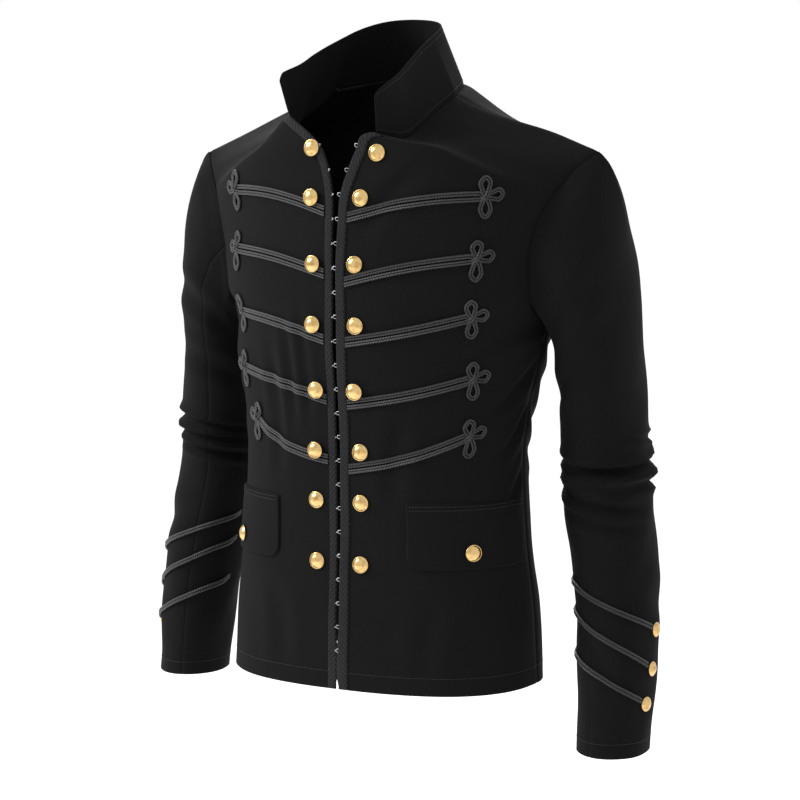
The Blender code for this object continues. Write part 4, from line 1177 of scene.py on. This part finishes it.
def frog_frame(frog, chart, name):
    """A function that lays a frog's own places, along and off its braid, on the cloth."""
    heights = (frog.start_z - BRAID_WIDTH / 2.0, frog.start_z + BRAID_WIDTH / 2.0)
    rows = [np.argmin(np.abs(fronts[name][:, 0, 2] - height)) for height in heights]
    start = max(abs(fronts[name][row, 0, 0]) for row in rows) + TAPE_WIDTH[name] + TAPE_CLEAR
    reach = frog.length - start

    def lay(along, off, rise):
        share = np.clip(along / reach, 0.0, LOOP_SHARE)
        lift = frog.rise * share + frog.bow * np.sin(math.pi * np.minimum(share, 1.0))
        points, normals = chart.place(start + along, frog.start_z + lift + off)
        return points + normals * np.reshape(rise, (-1, 1))

    return reach, lay


# Each frog's loops, from its foot: the turn, the reach, half the length and half the width
FROG_LOOPS = (
    ((270, 0.0130, 0.0078, 0.0050), (0, 0.0130, 0.0050, 0.0048), (90, 0.0125, 0.0062, 0.0048)),
    ((270, 0.0150, 0.0070, 0.0050), (0, 0.0120, 0.0050, 0.0046), (90, 0.0110, 0.0055, 0.0046)),
    ((270, 0.0140, 0.0066, 0.0048), (0, 0.0120, 0.0050, 0.0046), (90, 0.0105, 0.0055, 0.0046)),
    ((270, 0.0135, 0.0066, 0.0048), (0, 0.0125, 0.0050, 0.0046), (90, 0.0105, 0.0055, 0.0046)),
    ((270, 0.0145, 0.0068, 0.0048), (0, 0.0120, 0.0050, 0.0046), (90, 0.0100, 0.0052, 0.0046)),
)
STRAND_OFF = 0.0031
STRAND_HALF = 0.00128
CROSS_LIFT = 0.0011
CROSS_PAST = 0.0005
# A loop's outline, in half lengths from its middle and half widths to its side
LOOP_OUTLINE = ((-0.45, 0.9), (0.35, 0.95), (1.0, 0.0), (0.35, -0.95), (-0.45, -0.9))
PATH_STEP = 0.0009


def smooth_path(points, step):
    """A smooth curve through points, with a point at every step."""
    points = np.asarray(points, float)
    ends = np.concatenate([[2 * points[0] - points[1]], points, [2 * points[-1] - points[-2]]])
    parts = []
    t = np.linspace(0.0, 1.0, 24, endpoint=False)[:, None]
    for a, b, c, d in zip(ends[:-3], ends[1:-2], ends[2:-1], ends[3:]):
        parts.append(0.5 * (2 * b + (c - a) * t + (2 * a - 5 * b + 4 * c - d) * t ** 2
                            + (3 * b - a - 3 * c + d) * t ** 3))
    path = np.concatenate([*parts, points[-1:]])
    lengths = path_lengths(path)
    wanted = np.linspace(0.0, lengths[-1], max(2, int(lengths[-1] / step)) + 1)
    return read_along(path, lengths, wanted)


def frog_path(reach, loops):
    """The middle of the double cord: out along the braid, round its loops and back, with its lift."""
    out = [(0.0, 1.0), (reach * 0.3, 1.0), (reach * 0.6, 1.0), (reach - 0.012, 1.0), (reach - 0.005, 0.85)]
    way = [(at, STRAND_OFF * share, 0.0) for at, share in out]
    home = [(at, -STRAND_OFF * share, 0.0) for at, share in reversed(out)]
    for k, (turn, middle, length, width) in enumerate(loops):
        angle = math.radians(turn)
        ux, uy = math.cos(angle), math.sin(angle)
        way.append((reach + CROSS_PAST, 0.0, k * CROSS_LIFT))
        for further, side in LOOP_OUTLINE:
            go = middle + further * length
            way.append((reach + ux * go - uy * side * width, uy * go + ux * side * width, 0.0))
    way.append((reach + CROSS_PAST, 0.0, len(loops) * CROSS_LIFT))
    return smooth_path(way + home, PATH_STEP)


def side_by_side(path, half):
    """Two paths at each side of a flat one."""
    along = unit(np.gradient(path[:, :2], axis=0))
    across = np.stack([-along[:, 1], along[:, 0]], axis=1)
    return [np.concatenate([path[:, :2] + across * sign * half, path[:, 2:]], axis=1) for sign in (-1, 1)]


for name in SIDES:
    for k, frog in enumerate(FROGS[name]):
        reach, lay = frog_frame(frog, front_charts[name], name)
        paths = [lay(p[:, 0], p[:, 1], p[:, 2] + CORD_RADIUS + REST)
                 for p in side_by_side(frog_path(reach, FROG_LOOPS[k]), STRAND_HALF)]
        node = f"frog_{name}_{k + 1}"
        pieces[node] = cord_piece(node + "_braid", paths, CORD_RADIUS, braid_cord)

CUFF_CORD_RADIUS = 0.0015
CUFF_CORD_HALF = 0.00165
for name in SIDES:
    for k, row in enumerate(CUFF_ROWS):
        turns = np.linspace(CUFF_BRAID_SHOWN_TURN[name], row.button_turn + CUFF_BRAID_END_GAP, 90)
        share = (CUFF_BRAID_START_TURN - turns) / (CUFF_BRAID_START_TURN - row.button_turn)
        bend = np.sign(share) * np.abs(share) ** CUFF_BRAID_CURVE
        up = row.start_up + (row.button_up - row.start_up) * bend
        sunk = np.clip(1.0 - (turns[0] - turns) / CUFF_BRAID_SINK, 0.0, 1.0)
        lift = CUFF_CORD_RADIUS + REST - 2.0 * CUFF_CORD_RADIUS * sunk
        paths = []
        for sign in (-1, 1):
            points, normals = arms[name].place(turns, up + sign * CUFF_CORD_HALF)
            paths.append(points + normals * lift[:, None])
        node = f"cuff_braid_{name}_{k + 1}"
        pieces[node] = cord_piece(node + "_cords", paths, CUFF_CORD_RADIUS, braid_cord)

# A button's half outline in radii, from its back edge over the rim to the top of its dome
BUTTON_PROFILE = (
    (0.80, 0.00), (0.97, 0.03), (1.00, 0.08), (1.00, 0.13), (0.97, 0.17), (0.93, 0.175), (0.905, 0.165),
    (0.88, 0.19), (0.82, 0.26), (0.72, 0.345), (0.58, 0.43), (0.42, 0.49), (0.24, 0.525), (0.10, 0.54),
    (0.0, 0.545),
)
button_shape = lathe("button_shape", BUTTON_PROFILE, 40)


def buttons_piece(name, places, radius, nodes):
    """Domed buttons at places, each a point with its normal and its rise."""
    points = [point + normal * rise for point, normal, rise in places]
    turns = [turn_to(normal) for _, normal, _ in places]
    piece = repeated_piece(name, button_shape, points, turns, gilt, size=radius)
    pieces[name] = piece
    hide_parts(*nodes)
    return piece


for name in SIDES:
    places = []
    for row in FRONT_BUTTONS[name]:
        point, normal = front_charts[name].place(row.across, row.z)
        places.append((point[0], normal[0], row.rise))
    buttons_piece("front_buttons_" + name, places, BUTTON_RADIUS,
                  [f"button_{name}_{k + 1}" for k in range(len(FRONT_BUTTONS[name]))])
    places = []
    for row in CUFF_ROWS:
        point, normal = arms[name].place(row.button_turn, row.button_up)
        places.append((point[0], normal[0], BUTTON_CLEAR))
    buttons_piece("cuff_buttons_" + name, places, CUFF_BUTTON_RADIUS,
                  [f"cuff_button_{name}_{k + 1}" for k in range(len(CUFF_ROWS))])
    point, normal = front_charts[name].place((FLAP_FROM + FLAP_TO) / 2.0, FLAP_BOTTOM + FLAP_BUTTON_UP)
    place = (point[0], normal[0], FLAP_THICK + 2 * BUTTON_CLEAR)
    buttons_piece("pocket_button_" + name, [place], BUTTON_RADIUS, ["flap_button_" + name])


def flap_piece(name):
    """A pocket flap: a thick sheet with rounded lower corners, laid on the front."""
    width = FLAP_TO - FLAP_FROM
    height = FLAP_TOP - FLAP_BOTTOM
    down = shares_of(height, FLAP_ROWS, True, True) * height
    across = shares_of(width, FLAP_COLUMNS, True, True)
    grid = []
    normals = []
    flat = []
    for d in down:
        into = max(d - (height - FLAP_CORNER), 0.0)
        cut = FLAP_CORNER - math.sqrt(max(FLAP_CORNER ** 2 - into ** 2, 0.0))
        line = FLAP_FROM + cut + across * (width - 2.0 * cut)
        edge = np.minimum.reduce([line - FLAP_FROM - cut, FLAP_TO - cut - line,
                                  np.full_like(line, height - d)])
        round_down = 1.0 - np.sqrt(np.clip(1.0 - (1.0 - np.clip(edge / FLAP_ROUND, 0, 1)) ** 2, 0, 1))
        points, facing = front_charts[name].place(line, np.full_like(line, FLAP_TOP - d))
        rise = REST + FLAP_THICK - FLAP_EDGE_DROP * round_down
        rise = rise - FLAP_TOP_DROP * math.exp(-(d / FLAP_TOP_REACH) ** 2)
        grid.append(points + facing * rise[:, None])
        normals.append(facing)
        flat.append(np.stack([line, np.full_like(line, -d)], axis=1))
    return shell_of(f"pocket_flap_{name}_cloth", grid, normals, flat, wall=FLAP_THICK * FLAP_WALL_SHARE)


for name in SIDES:
    pieces["pocket_flap_" + name] = flap_piece(name)


def tape_piece(name):
    """The tape along a front edge, from the hem to the neck."""
    grid = fronts[name]
    shares = np.array([share for share, _ in TAPE_PROFILE])
    crown = np.array([rise for _, rise in TAPE_PROFILE])
    across = shares * (TAPE_WIDTH[name] - TAPE_INSET) + TAPE_INSET
    normals = grid_normals(grid, ORIGIN)
    points = []
    facing = []
    flat = []
    length = 0.0
    for i in range(1, NECK_ROW):
        line = grid[i]
        lengths = path_lengths(line)
        place = read_along(line, lengths, across)
        closing = ramp(-line[0, 2], *TAPE_CLOSING) * (1.0 - ramp(-line[0, 2], *TAPE_OPENING))
        shift = np.linspace(1.0, 0.0, len(across)) ** 2 * closing * TAPE_OVERHANG
        place[:, 0] -= shift * SIDES[name]
        normal = unit(read_along(normals[i], lengths, across))
        points.append(place + normal * (REST + TAPE_THICK + crown)[:, None])
        facing.append(normal)
        if i > 1:
            length += np.linalg.norm(points[-1][0] - points[-2][0])
        flat.append(np.stack([across, np.full_like(across, length)], axis=1))
    return shell_of(f"front_tape_{name}_strip", points, facing, flat, tape_cloth, wall=TAPE_THICK)


for name in SIDES:
    pieces["front_tape_" + name] = tape_piece(name)

# Hooks and eyes down the front, by height
HOOK_STEP = 0.0251
HOOK_FIRST = -0.0445
HOOK_COUNT = 22
# How far the wires sit above the cloth
HOOK_LIFT = 0.0016
WIRE_RADIUS = 0.00048
WIRE_STEP = 0.0004
WIRE_SIDES = 6
# The cloth's direction at its edge is read from this column
INNER_COLUMN = 6


def wire_shapes():
    """An eye, a wire loop, and a hook, a wire bent back. Each points along +X from the tape's edge."""
    eye = [(-0.0012, -0.0016, -0.0006), (0.0002, -0.0017, 0.0), (0.0018, -0.0012, 0.0), (0.0024, 0.0, 0.0),
           (0.0018, 0.0012, 0.0), (0.0002, 0.0017, 0.0), (-0.0012, 0.0016, -0.0006)]
    hook = [(-0.0012, -0.0012, -0.0006), (0.0004, -0.0006, 0.0), (0.0016, -0.0002, 0.0001),
            (0.0024, 0.0, 0.0007), (0.0021, 0.0002, 0.0014), (0.0010, 0.0004, 0.0015)]
    return smooth_path(eye, WIRE_STEP), smooth_path(hook, WIRE_STEP)


eye_path, hook_path = wire_shapes()
hook_lines = []
for k in range(HOOK_COUNT):
    height = HOOK_FIRST - HOOK_STEP * k
    for name, side in SIDES.items():
        edge = fronts[name][:, 0]
        rows = np.arange(NECK_ROW + 1)
        row = np.interp(-height, -edge[:NECK_ROW + 1][::-1, 2], rows[::-1])
        i = int(row)
        t = row - i
        corner = edge[i] * (1 - t) + edge[i + 1] * t
        normal = unit(front_normals[name][i, 0])
        cloth = fronts[name][:, INNER_COLUMN]
        inward = unit(corner - (cloth[i] * (1 - t) + cloth[i + 1] * t))
        updown = np.cross(normal, inward)
        shape = hook_path if name == "right" else eye_path
        base = corner + normal * HOOK_LIFT
        hook_lines.append(base + np.outer(shape[:, 0], inward) + np.outer(shape[:, 1], updown)
                          + np.outer(shape[:, 2], normal))
pieces["hooks_and_eyes"] = cord_piece("hooks_and_eyes", hook_lines, WIRE_RADIUS, steel, sides=WIRE_SIDES)

STITCH_PITCH = 0.0031
STITCH_HALF = 0.00105
STITCH_RADIUS = 0.00022
stitch_shape = lathe("stitch_shape", ((STITCH_RADIUS * 0.6, -STITCH_HALF), (STITCH_RADIUS, -STITCH_HALF * 0.6),
                                      (STITCH_RADIUS, STITCH_HALF * 0.6), (STITCH_RADIUS * 0.6, STITCH_HALF),
                                      (0.0, STITCH_HALF)), 5)


def stitches_piece(name, paths):
    """Rows of stitches. Each path is an array of points with an array of the cloth's normals there."""
    places = []
    turns = []
    for path, normals in paths:
        lengths = path_lengths(path)
        wanted = np.arange(STITCH_PITCH / 2.0, lengths[-1], STITCH_PITCH)
        ways = read_along(path, lengths, wanted + STITCH_HALF) - read_along(path, lengths, wanted - STITCH_HALF)
        facing = unit(read_along(normals, lengths, wanted))
        for point, normal, way in zip(read_along(path, lengths, wanted), facing, ways):
            places.append(point + normal * STITCH_RADIUS * 0.4)
            turns.append(turn_to(way, normal))
    return repeated_piece(name, stitch_shape, places, turns, thread)


def row_near(grid, distance):
    """The row of a grid that lies at a distance from its first row, along its middle column."""
    lengths = path_lengths(grid[:, grid.shape[1] // 2])
    return int(np.argmin(np.abs(lengths - distance)))


HEM_STITCH = 0.018
CUFF_STITCH = 0.016
COLLAR_STITCH = 0.004
FLAP_STITCHES = (0.0022, 0.0060)
FLAP_STITCH_IN = 0.003
hem_paths = []
for name in SIDES:
    for grid, normals in ((fronts[name], front_normals[name]), (backs[name], back_normals[name])):
        row = row_near(grid, HEM_STITCH)
        hem_paths.append((grid[row], normals[row]))
pieces["hem_stitches"] = stitches_piece("hem_stitches", hem_paths)
for name in SIDES:
    row = len(sleeves[name]) - 1 - row_near(sleeves[name][::-1], CUFF_STITCH)
    ring = np.concatenate([sleeves[name][row], sleeves[name][row, :1]])
    ring_normals = np.concatenate([sleeve_normals[name][row], sleeve_normals[name][row, :1]])
    pieces["cuff_stitches_" + name] = stitches_piece("cuff_stitches_" + name, [(ring, ring_normals)])
rows = (row_near(collar, COLLAR_STITCH), len(collar) - 1 - row_near(collar[::-1], COLLAR_STITCH))
paths = [(moved_collar[row, 2:-2], collar_normals[row, 2:-2]) for row in rows]
pieces["collar_stitches"] = stitches_piece("collar_stitches", paths)
for name in SIDES:
    paths = []
    for down in FLAP_STITCHES:
        line = np.linspace(FLAP_FROM + FLAP_STITCH_IN, FLAP_TO - FLAP_STITCH_IN, FLAP_COLUMNS)
        points, normals = front_charts[name].place(line, np.full_like(line, FLAP_TOP - down))
        paths.append((points + normals * (REST + FLAP_THICK), normals))
    pieces["flap_stitches_" + name] = stitches_piece("flap_stitches_" + name, paths)

# A narrow binding over the neck seam inside the back
BINDING_RADIUS = 0.0013
neck_line, neck_facing = [np.concatenate([grids["left"][NECK_ROW:, 0][::-1], grids["right"][NECK_ROW:, 0][1:]])
                          for grids in (backs, back_normals)]
inside = neck_line - neck_facing * (WALL + BINDING_RADIUS + REST)
pieces["neck_binding"] = cord_piece("neck_binding", [inside], BINDING_RADIUS, tape_cloth)

for part, piece in pieces.items():
    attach(piece, "root")
    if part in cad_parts:
        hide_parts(part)
for shape in (button_shape, stitch_shape):
    bpy.data.objects.remove(shape, do_unlink=True)

floor_mesh = bpy.data.meshes.new("floor")
FLOOR_Z = -1.45
FLOOR_HALF = 30.0
corners = [(x * FLOOR_HALF, y * FLOOR_HALF, FLOOR_Z) for x, y in ((-1, -1), (1, -1), (1, 1), (-1, 1))]
floor_mesh.from_pydata(corners, [], [(0, 1, 2, 3)])
floor = in_scene("floor", floor_mesh)
floor_material, _, floor_shader = new_material("pale floor")
floor_shader["Base Color"].default_value = (0.93, 0.93, 0.93, 1.0)
floor_shader["Roughness"].default_value = 0.95
floor_shader["Specular IOR Level"].default_value = 0.0
floor_shader["Emission Color"].default_value = (1.0, 1.0, 1.0, 1.0)
floor_shader["Emission Strength"].default_value = 0.12
floor_mesh.materials.append(floor_material)


def area_light(name, place, target, size, power):
    light = bpy.data.lights.new(name, "AREA")
    light.shape = "DISK"
    light.size = size
    light.energy = power
    item = in_scene(name, light)
    item.location = place
    item.rotation_euler = (Vector(target) - Vector(place)).to_track_quat("-Z", "Y").to_euler()


area_light("key", (-2.8, -1.9, 1.7), (0.0, 0.0, -0.3), 1.8, 150)
area_light("rim", (-1.5, 2.6, 1.6), (0.0, 0.0, -0.2), 2.0, 60)
bpy.context.scene.view_settings.view_transform = "Standard"

world = bpy.data.worlds.new("studio")
bpy.context.scene.world = world
world.use_nodes = True
world.node_tree.nodes["Background"].inputs["Color"].default_value = (1.0, 1.0, 1.0, 1.0)
world.node_tree.nodes["Background"].inputs["Strength"].default_value = 1.0

lens = bpy.data.cameras.new("camera")
lens.lens = LENS_MM
lens.sensor_width = SENSOR_MM
camera = in_scene("camera", lens)
right = Vector((math.cos(VIEW_TURN), math.sin(VIEW_TURN), 0.0))
place = Vector((VIEW_DISTANCE * math.sin(VIEW_TURN), -VIEW_DISTANCE * math.cos(VIEW_TURN), VIEW_HEIGHT))
camera.location = place + right * VIEW_SIDEWAYS
camera.rotation_euler = (math.pi / 2.0 - VIEW_PITCH, 0.0, VIEW_TURN)
bpy.context.scene.camera = camera

bpy.context.view_layer.update()
